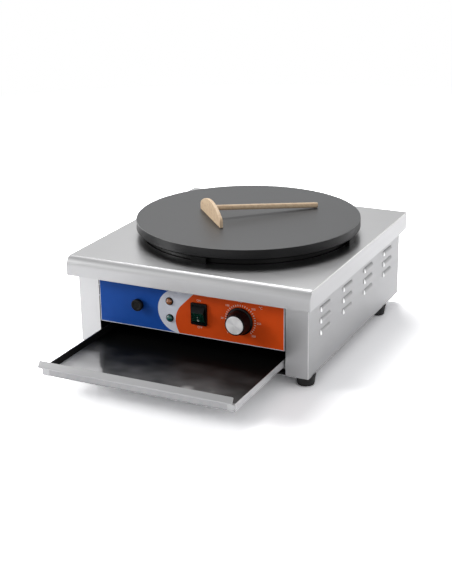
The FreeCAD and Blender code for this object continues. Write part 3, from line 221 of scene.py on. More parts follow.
class Paint:
    def __init__(self, name, base, roughness, metallic=0.0, **settings):
        self.material = bpy.data.materials.new(name)
        self.material.use_nodes = True
        self.tree = self.material.node_tree
        self.shader = self.tree.nodes["Principled BSDF"]
        self.set("Base Color", (*base, 1.0))
        self.set("Roughness", roughness)
        self.set("Metallic", metallic)
        for key, value in settings.items():
            self.set(key.replace("_", " "), value)
        self.where = self.node("ShaderNodeTexCoord").outputs["Object"]

    def set(self, socket, value):
        self.shader.inputs[socket].default_value = value

    def node(self, kind, values=(), **settings):
        return addNode(self.tree, kind, values, **settings)

    def link(self, source, target):
        connect(self.tree, (source, target))

    def scaled(self, scale, turn=(0, 0, 0), shift=(0, 0, 0)):
        mapping = self.node("ShaderNodeMapping", {"Location": shift, "Scale": scale, "Rotation": turn})
        self.link(self.where, mapping.inputs["Vector"])
        return mapping.outputs["Vector"]

    def noise(self, scale=(1, 1, 1), size=1.0, detail=3.0, roughness=0.5, turn=(0, 0, 0)):
        texture = self.node("ShaderNodeTexNoise", {"Scale": size, "Detail": detail, "Roughness": roughness})
        self.link(self.scaled(scale, turn), texture.inputs["Vector"])
        return texture.outputs["Fac"]

    def both(self, operation, first, second):
        made = self.node("ShaderNodeMath", operation=operation)
        connect(self.tree, (first, made.inputs[0]), (second, made.inputs[1]))
        return made.outputs[0]

    def spread(self, source, low, high, start=0.3, end=0.7):        # maps start to end onto low to high
        ramp = self.node("ShaderNodeMapRange", {"From Min": start, "From Max": end, "To Min": low,
                                                "To Max": high})
        self.link(source, ramp.inputs["Value"])
        return ramp.outputs["Result"]

    def colours(self, source, stops):
        self.link(colourRamp(self.tree, source, stops), self.shader.inputs["Base Color"])

    def rough(self, source, low, high):
        self.link(self.spread(source, low, high), self.shader.inputs["Roughness"])

    def bump(self, source, strength, distance):
        bump = self.node("ShaderNodeBump", {"Strength": strength, "Distance": distance})
        self.link(source, bump.inputs["Height"])
        self.link(bump.outputs["Normal"], self.shader.inputs["Normal"])


def shade(colour, factor):
    return tuple(min(part * factor, 1.0) for part in colour)


# Every finish by its name: colour, roughness, the grain's axis and strength, how far the roughness
# strays, and how metallic it is where that is not 1
steels = {
    "brushedTopSteel": ((0.44, 0.44, 0.445), 0.30, "x", 0.05, 0.012),
    # The skirt: a rougher and a little darker copy of the top's steel, the darkening a painted shade
    "brushedSkirtSteel": ((0.40, 0.40, 0.405), 0.46, "x", 0.05, 0.012),
    "brushedHoodSide": ((0.44, 0.44, 0.445), 0.36, "y", 0.06, 0.015),
    "brushedWallSteel": ((0.41, 0.41, 0.415), 0.5, "y", 0.06, 0.015),
    "brushedPillarSteel": ((0.43, 0.43, 0.435), 0.42, "z", 0.06, 0.015),
    "brushedTraySteel": ((0.35, 0.35, 0.355), 0.36, "x", 0.06, 0.015),
    # The tray's front and sides: darker and lighter copies of its own steel, painted shade and painted light
    "brushedTrayLeg": ((0.27, 0.27, 0.275), 0.36, "x", 0.06, 0.015),
    "brushedTraySide": ((0.62, 0.62, 0.625), 0.4, "y", 0.06, 0.015),
    # A bright copy of the steel: a painted highlight along the hood's side edges
    "burnishedEdge": ((0.92, 0.92, 0.92), 0.28, "y", 0.05, 0.02),
    # Bright copies for the side's front bend and the louvres' round ends: painted highlights
    "burnishedBend": ((0.74, 0.74, 0.74), 0.6, "z", 0.05, 0.02, 0.2),
    "burnishedLouvreEnd": ((0.92, 0.92, 0.92), 0.55, "z", 0.05, 0.02),
    "dullInnerSteel": ((0.30, 0.30, 0.305), 0.42, "y", 0.2, 0.05),
    "screwSteel": ((0.58, 0.58, 0.57), 0.28, "y", 0.10, 0.05),
    "elementSheath": ((0.22, 0.20, 0.18), 0.45, "z", 0.3, 0.05),
    "copperTube": ((0.72, 0.38, 0.22), 0.3, "z", 0.10, 0.05),
}
steelGrain = {"fine": 1400, "slow": 5, "wideFine": 1400 / 12, "wideSlow": 5 / 3, "clouds": (7, 7, 7)}


# Sheet steel with a fine brushed grain that runs along one axis
def brushedSteel(name, base, roughness, along, strength, strays, metallic=1.0):
    paint = Paint(name, base, roughness, metallic)

    def grain(slow, fine, detail):
        return paint.noise([steelGrain[slow if axis == along else fine] for axis in "xyz"], detail=detail)
    paint.rough(grain("wideSlow", "wideFine", 3.0), roughness - strays, roughness + strays)
    paint.colours(paint.noise(steelGrain["clouds"]), [(0.3, shade(base, 0.975)), (0.7, shade(base, 1.025))])
    paint.bump(grain("slow", "fine", 2.0), strength, 0.00002)
    return paint.material


basinLook = {
    "base": (0.1, 0.1, 0.1), "roughness": 0.5, "specular": 0.1,
    # film: the greys from the painted shade at the back to the smeared front and the painted reflection
    "film": [(0.10, 0.002), (0.25, 0.045), (0.43, 0.10), (0.58, 0.48), (0.88, 0.62)],
    "depth": 0.45, "shadeStart": 0.01, "shadeEnd": 0.170,
    "smears": (12, 17, 12), "smearTurn": 35, "smearRange": (-0.25, 0.55, 0.42, 0.64),
    # corner and the reflection keys: strength, direction and edge of the painted reflection in the
    # front-left corner
    "corner": 1.5, "reflectionWay": (1, 0.563, 0), "reflectionStart": 0.100, "reflectionEnd": 0.112,
    "grain": (4, 1400, 1400),
}


# The drawer's inside: painted shade that darkens it towards the back, random smears, and one pale corner
# that is a painted reflection
def basinSteel():
    look = basinLook
    paint = Paint("stainedBasin", look["base"], look["roughness"], Specular_IOR_Level=look["specular"])
    low = corners("tray_pan")[0]
    smears = paint.noise(look["smears"], detail=2.0, turn=(0, 0, math.radians(look["smearTurn"])))
    parts = paint.node("ShaderNodeSeparateXYZ")
    paint.link(paint.where, parts.inputs[0])
    # Painted shade: the floor darkens from the front towards the back
    depth = paint.spread(parts.outputs["Y"], look["depth"], 0.0, low.y + look["shadeStart"],
                         low.y + look["shadeEnd"])
    # Painted reflection: a pale front-left corner with a hard edge
    way = Vector(look["reflectionWay"])
    across = paint.node("ShaderNodeVectorMath", {1: way}, operation="DOT_PRODUCT")
    paint.link(paint.where, across.inputs[0])
    start = way.dot(Vector((low.x, low.y, 0)))
    corner = paint.spread(across.outputs["Value"], look["corner"], 0.0, start + look["reflectionStart"],
                          start + look["reflectionEnd"])
    stainsAndPaintedReflection = paint.both("ADD", paint.spread(smears, *look["smearRange"]), corner)
    whole = paint.both("ADD", depth, paint.both("MULTIPLY", stainsAndPaintedReflection, depth))
    paint.colours(whole, greys(look["film"]))
    paint.bump(paint.noise(look["grain"], detail=2.0), 0.05, 0.00002)
    return paint.material


# Colour, roughness, specular level and strength of the tooth
enamels = {
    "plateEnamel": ((0.046, 0.048, 0.050), 0.42, 0.32, 0.25),
    # The rim: a near-black copy of the top's enamel, a painted shade; the rolled edge: a lighter copy, a
    # painted highlight
    "plateRim": ((0.005, 0.005, 0.0055), 0.36, 0.22, 0.15),
    "plateEdge": ((0.15, 0.15, 0.15), 0.4, 0.5, 0.1),
}


# Non-stick enamel: a matt top with a very fine tooth, and a smoother rim
def plateEnamel(name, base, roughness, specular, tooth):
    paint = Paint(name, base, roughness, Specular_IOR_Level=specular)
    clouds = paint.noise(size=7, detail=4.0)
    paint.colours(clouds, [(0.25, shade(base, 0.9)), (0.75, shade(base, 1.1))])
    paint.rough(clouds, roughness - 0.02, roughness + 0.02)
    paint.bump(paint.noise(size=2600, detail=2.0), tooth, 0.00005)
    return paint.material


# Colour, roughness and specular level
films = {
    "filmBlue": ((0.007, 0.085, 0.43), 0.55, 0.2),
    "filmOrange": ((0.85, 0.088, 0.005), 0.55, 0.2),
    "filmWhite": ((0.85, 0.88, 0.97), 0.55, 0.2),
    "inkPale": ((0.90, 0.74, 0.66), 0.5, 0.3),
    "inkWhite": ((0.85, 0.83, 0.80), 0.5, 0.3),
}


# Printed film: an even ink under a matt laminate
def printedFilm(name, colour, roughness, specular):
    paint = Paint(name, colour, roughness, Specular_IOR_Level=specular)
    mottle = paint.noise(size=60, detail=4.0)
    paint.colours(mottle, [(0.3, shade(colour, 0.97)), (0.7, shade(colour, 1.03))])
    paint.bump(paint.noise(size=1500), 0.06, 0.00003)
    return paint.material


# Colour, roughness, the grain's size and strength, and specular level
plastics = {
    # The drawer's inner walls: near black, a painted shade
    "stainedBasinWall": ((0.006, 0.006, 0.006), 0.5, 900, 0.2, 0.15),
    "blackPlastic": ((0.003, 0.003, 0.0035), 0.32, 1800, 0.2, 0.15),
    "heatBlackEnamel": ((0.006, 0.006, 0.006), 0.3, 900, 0.3, 0.14),
    "blackRubber": ((0.012, 0.012, 0.012), 0.6, 900, 0.4, 0.35),
    "creamPlastic": ((0.55, 0.51, 0.42), 0.5, 1800, 0.2, 0.5),
    "leadSleeve": ((0.30, 0.10, 0.03), 0.5, 1800, 0.2, 0.5),
    "fibreBlanket": ((0.72, 0.70, 0.63), 0.95, 500, 1.0, 0.5),
}


def mouldedPlastic(name, colour, roughness, grainSize, strength, specular):
    paint = Paint(name, colour, roughness, Specular_IOR_Level=specular)
    wear = paint.noise(size=120, detail=4.0)
    paint.colours(wear, [(0.3, shade(colour, 0.85)), (0.75, shade(colour, 1.2))])
    paint.rough(wear, roughness - 0.04, roughness + 0.06)
    paint.bump(paint.noise(size=grainSize, detail=2.0), strength, 0.00005)
    return paint.material


# Deep colour, bright colour, size of the cells and roughness
lenses = {
    "amberLens": ((0.30, 0.075, 0.012), (0.62, 0.24, 0.07), 650, 0.14),
    "greenLens": ((0.002, 0.07, 0.06), (0.012, 0.20, 0.16), 650, 0.14),
    "greenWindow": ((0.0, 0.012, 0.007), (0.004, 0.075, 0.045), 420, 0.2),
}


# A tinted lens: cells like the moulded facets behind it
def tintedLens(name, deep, bright, cells, roughness):
    paint = Paint(name, deep, roughness, Coat_Weight=0.6, Coat_Roughness=0.08)
    facets = paint.node("ShaderNodeTexVoronoi", {"Scale": cells}, feature="F1")
    paint.link(paint.where, facets.inputs["Vector"])
    paint.colours(facets.outputs["Distance"], [(0.15, bright), (0.6, deep)])
    paint.bump(facets.outputs["Distance"], 0.25, 0.0002)
    return paint.material


# How the grain is turned, in degrees, and its scale along each axis
woods = {
    "beechBlade": ((0, 0, -42), (220, 14, 220)),
    "beechHandle": ((0, -4, -42), (10, 260, 260)),
}
beechLook = {
    "base": (0.75, 0.56, 0.43), "roughness": 0.58, "roughFrom": 0.5, "roughTo": 0.68,
    "grain": [(0.25, (0.71, 0.49, 0.31)), (0.5, (0.86, 0.64, 0.42)), (0.8, (0.95, 0.75, 0.52))],
}


# Bare beech: long grain with short darker flecks
def beechWood(name, degrees, along):
    turn = tuple(math.radians(angle) for angle in degrees)
    paint = Paint(name, beechLook["base"], beechLook["roughness"])
    grain = paint.noise(along, detail=5.0, roughness=0.6, turn=turn)
    flecks = paint.noise(tuple(value * 3 for value in along), detail=2.0, turn=turn)
    paint.colours(grain, beechLook["grain"])
    paint.rough(flecks, beechLook["roughFrom"], beechLook["roughTo"])
    paint.bump(grain, 0.3, 0.0002)
    return paint.material


dialLook = {
    "metal": (0.98, 0.98, 0.98), "shadow": (0.72, 0.72, 0.74), "roughness": 0.42, "metallic": 0.5,
    "anisotropy": 0.7, "rings": (2500, 1, 2500),
    # The sectors: a painted reflection, light and dark by the angle about the axis
    "reflectionSectors": [(0.0, 1.0), (0.09, 0.35), (0.2, 1.0), (0.36, 0.8), (0.5, 1.0), (0.6, 0.25), (0.72, 1.0),
                (0.86, 0.7), (1.0, 1.0)],
}


# Spun metal: fine rings about the dial's axis, which draw its reflections out, and soft light and dark
# sectors of painted reflection turned about the axis in its colour
def spunMetal():
    look = dialLook
    paint = Paint("paintedReflectionSpunAluminium", look["metal"], look["roughness"], look["metallic"],
                  Anisotropic=look["anisotropy"])
    tangent = paint.node("ShaderNodeTangent", direction_type="RADIAL", axis="Y")
    paint.link(tangent.outputs["Tangent"], paint.shader.inputs["Tangent"])
    centre = middle("dial_face")
    # Painted reflection: the colour goes light and dark by the angle about the dial's axis
    reflectionSweep = paint.node("ShaderNodeTexGradient", gradient_type="RADIAL")
    turned = paint.scaled((1, 1, 1), (math.radians(90), 0, 0), (-centre.x, centre.z, 0))
    paint.link(turned, reflectionSweep.inputs["Vector"])
    light, dark = Vector(look["metal"]), Vector(look["shadow"])
    paint.colours(reflectionSweep.outputs["Fac"],
                  [(place, tuple(dark.lerp(light, share))) for place, share in look["reflectionSectors"]])
    paint.bump(paint.noise(look["rings"], detail=1.0), 0.05, 0.00002)
    return paint.material


finishes = {"stainedBasin": basinSteel(), "paintedReflectionSpunAluminium": spunMetal()}
for make, looks in ((brushedSteel, steels), (plateEnamel, enamels), (printedFilm, films),
                    (mouldedPlastic, plastics), (tintedLens, lenses), (beechWood, woods)):
    for finishName, settings in looks.items():
        finishes[finishName] = make(finishName, *settings)
print("materials made:", len(bpy.data.materials))


# CAD nodes that stay, under the finish of each

keptNodes = {
    "brushedTopSteel": "control_panel",
    "brushedWallSteel": "rear_panel",
    "dullInnerSteel": "base_plate front_rail divider_shelf tray_runner_left tray_runner_right clamp_bars "
                      "bulb_clip",
    "heatBlackEnamel": "element_pan plate_supports",
    "screwSteel": "rear_screws foot_screws clamp_bolts thermostat_screws earth_stud thermostat_shaft "
                  "thermostat_bulb",
    "elementSheath": "element_outer element_inner element_links",
    "fibreBlanket": "insulation_blanket",
    "copperTube": "capillary_tube",
    "filmBlue": "label_blue",
    "filmOrange": "label_orange",
    "filmWhite": "label_white",
    "blackPlastic": "switch_body cable_gland gland_nut",
    "creamPlastic": "safety_thermostat thermostat_body terminal_block",
    "leadSleeve": "internal_leads",
    "beechHandle": "spreader_handle",
}
for finishName, nodeNames in keptNodes.items():
    for nodeName in nodeNames.split():
        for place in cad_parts[nodeName].material_slots:
            place.material = finishes[finishName]
print("CAD nodes finished")


# Hood: one folded sheet with a wide bend along its front and tight bends elsewhere

hoodLook = {
    "frontBend": 0.015, "sideBend": 0.002, "sheet": 0.0012, "holeRadius": 0.1885, "holeSteps": 256,
    "drillReach": 0.05,
}


def makeHood():
    low, high = corners("top_cover")
    tight = hoodLook["sideBend"]
    outline = softLine([(low.y, low.z), (high.y, low.z), (high.y, high.z, tight),
                        (low.y, high.z, hoodLook["frontBend"])], 10, True)
    bm = prism(outline, low.x, high.x)

    def sideBend(edge):        # the edges of both sides, apart from the open one below
        onSide = all(abs(abs(vert.co.x) - high.x) < 1e-6 for vert in edge.verts)
        return onSide and any(vert.co.z > low.z + 1e-6 for vert in edge.verts)
    bevelSharp(bm, tight, 4, 20, sideBend)
    bottom = [face for face in bm.faces if all(vert.co.z < low.z + 1e-6 for vert in face.verts)]
    bmesh.ops.delete(bm, geom=bottom, context="FACES")

    def faceFinish(face):        # 0 top, 1 side, 2 side-edge bend as a painted highlight, 3 skirt as a darker painted-shade copy of the top's steel
        if 0.3 < abs(face.normal.x) < 0.9:
            return 2 if face.normal.z > 0.25 and face.normal.y > -0.3 else 3
        return 1 if abs(face.normal.x) > 0.75 else 3 if face.normal.y < -0.12 else 0
    hood = newObject("hood", bm, "brushedTopSteel brushedHoodSide burnishedEdge brushedSkirtSteel",
                     "cabinet", ["top_cover"], pick=faceFinish)
    plate = middle("hot_plate")
    radius, reach = hoodLook["holeRadius"], hoodLook["drillReach"]
    drill = meshObject("drill", lathe([(0, -reach), (radius, -reach), (radius, reach), (0, reach)],
                                      Vector((plate.x, plate.y, high.z)), "up", hoodLook["holeSteps"]))
    even = hood.modifiers["evenNormals"]
    even.show_viewport = False
    sheet = hood.modifiers.new("sheet", "SOLIDIFY")
    sheet.thickness = hoodLook["sheet"]
    sheet.offset = -1
    hole = hood.modifiers.new("hole", "BOOLEAN")
    hole.object = drill
    hole.operation = "DIFFERENCE"
    hood.data = settledMesh(hood)
    hood.modifiers.remove(sheet)
    hood.modifiers.remove(hole)
    even.show_viewport = True
    hood.data.set_sharp_from_angle(angle=math.radians(35))
    bpy.data.objects.remove(drill)


# Side panels: a bent sheet with rows of louvres pressed out of it

sideLook = {
    "sheet": 0.0012, "bend": 0.0022, "pillar": 0.0401, "rearReturn": 0.015, "overhang": 0.0103,
    "length": 0.044, "height": 0.009, "lip": 0.0030, "arc": 0.0080, "skin": 0.0011, "sunk": 0.0004,
    "first": 0.090, "pitch": 0.103, "columns": 4, "crease": 0.1275, "rowPitch": 0.0201, "rows": 3,
    "endSteps": 6,
}


# The louvre's section: how far it stands out at each depth below its crease
def louvreSection(lip, depth, arc, top, steps=8):
    start, end = Vector((0, -top)), Vector((lip, -depth))
    half = (end - start) * 0.5
    side = Vector((half.y, -half.x)).normalized()
    centre = (start + end) * 0.5 + side * math.sqrt(arc ** 2 - half.length ** 2)
    return arcPoints(centre, start - centre, end - centre, steps)


# One louvre of two skins. straight is half the length between its round ends.
def addLouvre(bm, wall, along, crease, hand, straight):
    look, endSteps = sideLook, sideLook["endSteps"]
    skins = []
    for inset in (0.0, look["skin"]):
        rows = []
        section = louvreSection(look["lip"] - inset, look["height"], look["arc"] - inset, inset)
        for index, (out, down) in enumerate(section):
            ring = []
            for side in (-1, 1):
                for step in range(endSteps + 1):
                    turn = step if side > 0 else endSteps - step
                    angle = math.radians(90 * turn / endSteps)
                    sunk = turn == endSteps or index == 0        # the edge goes just into the wall
                    reach = -look["sunk"] if sunk else out * math.cos(angle)
                    y = along + side * (straight + out * math.sin(angle))
                    ring.append(bm.verts.new((wall + hand * reach, y, crease + down)))
            rows.append(ring)
        skins.append(rows)
    outer, inner = skins
    for rows in skins:
        for upper, lower in zip(rows, rows[1:]):
            for left in range(len(upper) - 1):
                bm.faces.new((upper[left], upper[left + 1], lower[left + 1], lower[left]))
    for end in (0, -1):
        for left in range(len(outer[0]) - 1):
            bm.faces.new((outer[end][left], outer[end][left + 1], inner[end][left + 1], inner[end][left]))
    for end in (0, -1):
        for row in range(len(outer) - 1):
            bm.faces.new((outer[row][end], outer[row + 1][end], inner[row + 1][end], inner[row][end]))


def makeSide(node, hand):
    look = sideLook
    low, high = corners(node)
    hoodLow, hoodHigh = corners("top_cover")
    wall = hoodHigh.x - look["overhang"]
    sheet, bend = look["sheet"], look["bend"]
    edge, turn = wall - look["pillar"], wall - look["rearReturn"]
    front, back = low.y, high.y
    outer = softLine([(edge, front), (wall, front, bend), (wall, back, bend), (turn, back)], 6)
    inner = softLine([(edge, front + sheet), (wall - sheet, front + sheet, bend - sheet),
                      (wall - sheet, back - sheet, bend - sheet), (turn, back - sheet)], 6)
    half = look["length"] / 2 - look["lip"]
    middles = [hoodLow.y + look["first"] + column * look["pitch"] for column in range(look["columns"])]
    stops = [spot for place in middles for spot in (place - half, place + half)]
    bendEnd = 8        # the wall's long stretch starts after the pillar's edge and the first bend
    outer[bendEnd:bendEnd] = [Vector((wall, stop)) for stop in stops]
    inner[bendEnd:bendEnd] = [Vector((wall - sheet, stop)) for stop in stops]
    creases = [look["crease"] - row * look["rowPitch"] for row in range(look["rows"])]
    levels = sorted([low.z, high.z] + [level - drop for level in creases
                                       for drop in (look["skin"], look["height"])])
    columns, rows = len(outer) - 1, len(levels) - 1

    def solid(column, row):
        inside = 0 <= column < columns and 0 <= row < rows
        slot = 0 <= column - bendEnd < 2 * look["columns"] and (column - bendEnd) % 2 == 0
        return inside and not (slot and row % 2 == 1)
    bm = bmesh.new()
    face, rear = ([[bm.verts.new((hand * x, y, z)) for z in levels] for x, y in line]
                  for line in (outer, inner))
    for column in range(columns):
        for row in range(rows):
            if not solid(column, row):
                continue
            spots = [(column, row), (column + 1, row), (column + 1, row + 1), (column, row + 1)]
            bm.faces.new([face[a][b] for a, b in spots])
            bm.faces.new([rear[a][b] for a, b in reversed(spots)])
            for index, (across, up) in enumerate([(0, -1), (1, 0), (0, 1), (-1, 0)]):
                if not solid(column + across, row + up):
                    (a, b), (c, d) = spots[index], spots[(index + 1) % 4]
                    bm.faces.new((face[a][b], face[c][d], rear[c][d], rear[a][b]))
    for place in middles:
        for level in creases:
            addLouvre(bm, hand * wall, place, level, hand, half)
    loose = [vert for vert in bm.verts if not vert.link_faces]
    bmesh.ops.delete(bm, geom=loose, context="VERTS")

    def faceFinish(part):        # 0 wall, 1 pillar, 2 bend as a painted highlight, 3 round end of a louvre as a painted highlight
        spot = part.calc_center_median()
        if spot.y < front + bend and 0.35 < abs(part.normal.x) < 0.9:
            return 2
        if spot.y < front + bend and part.normal.y < -0.4:
            return 1
        onEnd = any(half < abs(spot.y - place) < half + 2 * look["lip"] for place in middles)
        return 3 if onEnd and abs(spot.x) > wall + 0.0003 and abs(part.normal.y) > 0.3 else 0
    newObject(node + "_sheet", bm, "brushedWallSteel brushedPillarSteel burnishedBend burnishedLouvreEnd",
              "cabinet", [node], 30, faceFinish)


makeHood()
makeSide("side_panel_left", -1)
makeSide("side_panel_right", 1)
print("case made")


# Hot plate: a turned disc with a rolled top edge and a chamfered rim

plateShape = {
    "thickness": 0.010, "rimWall": 0.011, "flatEnd": 0.01, "edgeStart": 0.008, "edge": 0.0012,
    "chamfer": 0.0025, "rimRound": 0.0006, "footRound": 0.0005, "innerRound": 0.001,
}


def makePlate():
    shape = plateShape
    low, high = corners("hot_plate")
    radius, top, under = radiusOf("hot_plate"), high.z, low.z
    inner, web = radius - shape["rimWall"], top - shape["thickness"]
    profile = [(0, top), (radius * 0.5, top), (radius - shape["flatEnd"], top)]
    profile += softLine([(radius - shape["edgeStart"], top), (radius, top, shape["edge"]),
                         (radius, under + shape["chamfer"], shape["rimRound"]),
                         (radius - shape["chamfer"], under, shape["footRound"]),
                         (inner, under, shape["innerRound"]), (inner, web)], 4)
    bm = lathe(profile + [(0, web)], Vector((0, middle("hot_plate").y, 0)), "up", 256)
    # Faces: the top, the rim as painted shade, and the rolled edge as a painted highlight
    newObject("plate", bm, "plateEnamel plateRim plateEdge", "cabinet", ["hot_plate"], 50,
              lambda face: 0 if face.normal.z > 0.9 else 2 if face.normal.z > 0.35 else 1)


# Feet: tapered rubber with a rounded sole and a small collar at the case

footLook = {
    "sole": 0.0142, "soleRound": 0.0015, "top": 0.017, "collar": 0.0012, "ledge": 0.0004,
    "ledgeRound": 0.0003, "hole": 0.0026, "holeStart": 0.4,
}


def makeFoot(node):
    look = footLook
    low, high = corners(node)
    centre, height = middle(node), high.z - low.z
    top, neck, holeStart = look["top"], height - look["collar"], height * look["holeStart"]
    profile = softLine([(0, 0), (look["sole"], 0, look["soleRound"]),
                        (top - look["ledge"], neck, look["ledgeRound"]), (top, neck, look["ledgeRound"]),
                        (top, height), (look["hole"], height), (look["hole"], holeStart), (0, holeStart)], 4)
    bm = lathe(profile, Vector((centre.x, centre.y, low.z)), "up", 64)
    newObject(node + "_rubber", bm, "blackRubber", "cabinet", [node])


makePlate()
for footNode in ("foot_front_left", "foot_front_right", "foot_back_left", "foot_back_right"):
    makeFoot(footNode)
print("plate and feet made")


# Spreader's blade: a half-moon of beech with well rounded ends and edges

bladeLook = {
    "length": 0.128, "height": 0.032, "end": 0.012, "arc": 0.1228, "arcInset": 0.004, "thick": 0.006,
    "turn": 42, "round": 0.0022, "endRound": 0.009, "footRound": 0.001, "steps": 24,
}


def makeBlade():
    look, steps = bladeLook, bladeLook["steps"]
    low, centre = corners("spreader_blade")[0], middle("spreader_blade")
    half, arc = look["length"] / 2, look["arc"]
    reach = math.asin((half - look["arcInset"]) / arc)
    angles = [reach * step / steps for step in range(-steps, steps + 1)]
    top = [(arc * math.sin(angle), look["height"] - arc * (1 - math.cos(angle))) for angle in angles]
    ends = [(half, look["end"], look["endRound"]), (half, 0, look["footRound"]),
            (-half, 0, look["footRound"]), (-half, look["end"], look["endRound"])]
    bm = prism(softLine(top + ends, 6, True), -look["thick"] / 2, look["thick"] / 2)
    bevelSharp(bm, look["round"], 4, 60)
    place = Matrix.Translation((centre.x, centre.y, low.z))
    bm.transform(place @ Matrix.Rotation(math.radians(look["turn"]), 4, "Z"))
    newObject("beech_blade", bm, "beechBlade", "spreader", ["spreader_blade"], 50)


makeBlade()
print("blade made")


# Controls. Heights in these profiles run out of the panel from the label's face.

capLook = {
    "length": 0.0065, "wall": 0.0013, "draft": 0.0002, "shoulder": 0.001, "chamfer": 0.0008,
    "round": 0.00078, "dishStart": 0.62, "dishEnd": 0.55, "dish": 0.0005, "dishRound": 0.0006,
    "top": 0.0016, "stem": 0.0025,
}


def makeResetCap():
    look = capLook
    low, high = corners("reset_button")
    centre, radius, length = middle("reset_button"), radiusOf("reset_button"), look["length"]
    inner, chamfer, dish = radius - look["wall"], look["chamfer"], length - look["dish"]
    profile = softLine([(inner, 0), (radius - look["draft"], 0, look["draft"]),
                        (radius, length - look["shoulder"], chamfer),
                        (radius - chamfer, length, look["round"]),
                        (radius * look["dishStart"], length, look["dishRound"]),
                        (radius * look["dishEnd"], dish, look["dishRound"]), (0, dish)], 4)
    origin = Vector((centre.x, low.y + length, centre.z))
    bm = lathe(profile, origin, "front", 96)
    stem, under, back = look["stem"], length - look["top"], origin.y - high.y
    lathe([(inner, 0), (inner, under), (stem, under), (stem, back), (0, back)], origin, "front", 96, bm)
    newObject("reset_cap", bm, "blackPlastic", "reset", ["reset_button"])


lampLook = {
    "rise": 0.0016, "neck": 0.0049, "slope": 0.0004, "edge": 0.0004, "wall": 0.0014, "wallRound": 0.0003,
    "seat": 0.0016, "sunk": 0.0008, "collar": 0.001, "domeSteps": 10,
}


def makeLamp(colour):
    bodyNode, lensNode = f"lamp_body_{colour}", f"lamp_lens_{colour}"
    look, steps = lampLook, lampLook["domeSteps"]
    low, high = corners(bodyNode)
    centre, radius = middle(bodyNode), radiusOf(bodyNode)
    rise, neck, seat = look["rise"], look["neck"], radius - look["seat"]
    origin = Vector((centre.x, low.y + rise, centre.z))
    back, sunk = origin.y - high.y, rise - look["sunk"]
    ring = softLine([(0, back), (neck, back), (neck, 0), (radius, 0),
                     (radius - look["slope"], rise, look["edge"]),
                     (radius - look["wall"], rise, look["wallRound"]), (seat, sunk), (0, sunk)], 4)
    bm = lathe(ring, origin, "front", 64)
    newObject(f"lamp_ring_{colour}", bm, "blackPlastic", "cabinet", [bodyNode])
    low, high = corners(lensNode)
    base, tip, collar = origin.y - high.y, origin.y - low.y, look["collar"]
    angles = [math.radians(90 * step / steps) for step in range(steps)]
    dome = [(seat * math.cos(angle), base + collar + (tip - base - collar) * math.sin(angle))
            for angle in angles]
    bm = lathe([(0, base), (seat, base)] + dome + [(0, tip)], origin, "front", 64)
    newObject(f"lamp_dome_{colour}", bm, f"{colour}Lens", "cabinet", [lensNode])


knobLook = {
    "skirt": 0.004, "skirtFoot": 0.0006, "footRound": 0.0004, "skirtRound": 0.0008, "skirtTop": 0.0004,
    "skirtEdge": 0.0009, "step": 0.0026, "nose": 0.0174, "noseEdge": 0.0009, "faceGap": 0.0001,
    "seatRound": 0.0003, "seat": 0.001, "faceEdge": 0.0004, "ring": 0.93, "dish": 0.92, "dishDepth": 0.0001,
}


def makeDial():
    look = knobLook
    low, high = corners("dial_knob")
    faceLow, faceHigh = corners("dial_face")
    centre, radius, rim = middle("dial_knob"), radiusOf("dial_knob"), radiusOf("dial_face")
    length, skirt, seat = high.y - low.y, look["skirt"], rim + look["faceGap"]
    floor = length - look["seat"]
    profile = softLine([(0, 0), (radius - look["skirtFoot"], 0, look["footRound"]),
                        (radius, skirt * 0.5, look["skirtRound"]),
                        (radius - look["skirtTop"], skirt, look["skirtEdge"]),
                        (radius - look["step"], skirt + look["skirtTop"], look["skirtRound"]),
                        (look["nose"], length, look["noseEdge"]), (seat, length, look["seatRound"]),
                        (seat, floor), (0, floor)], 5)
    bm = lathe(profile, Vector((centre.x, high.y, centre.z)), "front", 160)
    newObject("dial_cap", bm, "blackPlastic", "dial", ["dial_knob"])
    top = faceHigh.y - faceLow.y
    dish = top - look["dishDepth"]
    profile = softLine([(0, 0), (rim, 0), (rim, top, look["faceEdge"]), (rim * look["ring"], top),
                        (rim * look["dish"], dish), (0, dish)], 4)
    bm = lathe(profile, Vector((centre.x, faceHigh.y, centre.z)), "front", 128)
    newObject("dial_disc", bm, "paintedReflectionSpunAluminium", "dial", ["dial_face"])


makeResetCap()
makeLamp("amber")
makeLamp("green")
makeDial()
print("controls made")


# Rocker: two faces that meet at a ridge, drawn about its pivot and tilted as it stands

rockerLook = {
    "half": 0.0138, "apex": 0.013, "ridge": 0.0035, "end": 0.0055, "back": 0.005, "backHalf": 0.0069,
    "tilt": -5.0, "skin": 0.0025, "bezel": 0.004, "pivotDepth": 0.002, "edge": 0.0005,
}


def rockerPoint(inwards, up):
    bezel = corners("switch_body")[0].y + rockerLook["bezel"]
    pivot = Vector((bezel + rockerLook["pivotDepth"], middle("switch_body").z))
    turn = Matrix.Rotation(math.radians(rockerLook["tilt"]), 2)
    return pivot + turn @ Vector((inwards, up))


def makeRocker():
    look = rockerLook
    low, high = corners("rocker_window")
    half, ridge, skin, back, backHalf = (look[key] for key in ("half", "ridge", "skin", "back", "backHalf"))
    apex, end = -look["apex"], -look["end"]
    black = [(end + skin, -half), (back, -backHalf), (back, backHalf), (end, half), (apex, ridge),
             (apex + skin, ridge)]
    green = [(end, -half), (end + skin, -half), (apex + skin, ridge), (apex, ridge)]
    for name, node, points, surface, slot in (
            ("rocker_black", "switch_rocker", black, "blackPlastic", "plastic_black"),
            ("rocker_green", "rocker_window", green, "greenWindow", "window_green")):
        bm = prism([rockerPoint(*point) for point in points], low.x, high.x)
        bevelSharp(bm, look["edge"], 3, 15)
        newObject(name, bm, surface, "rocker", [node])


makeRocker()
print("rocker made")


# Drawer: a shallow pan with rounded folds, and a grip folded from one strip across its front

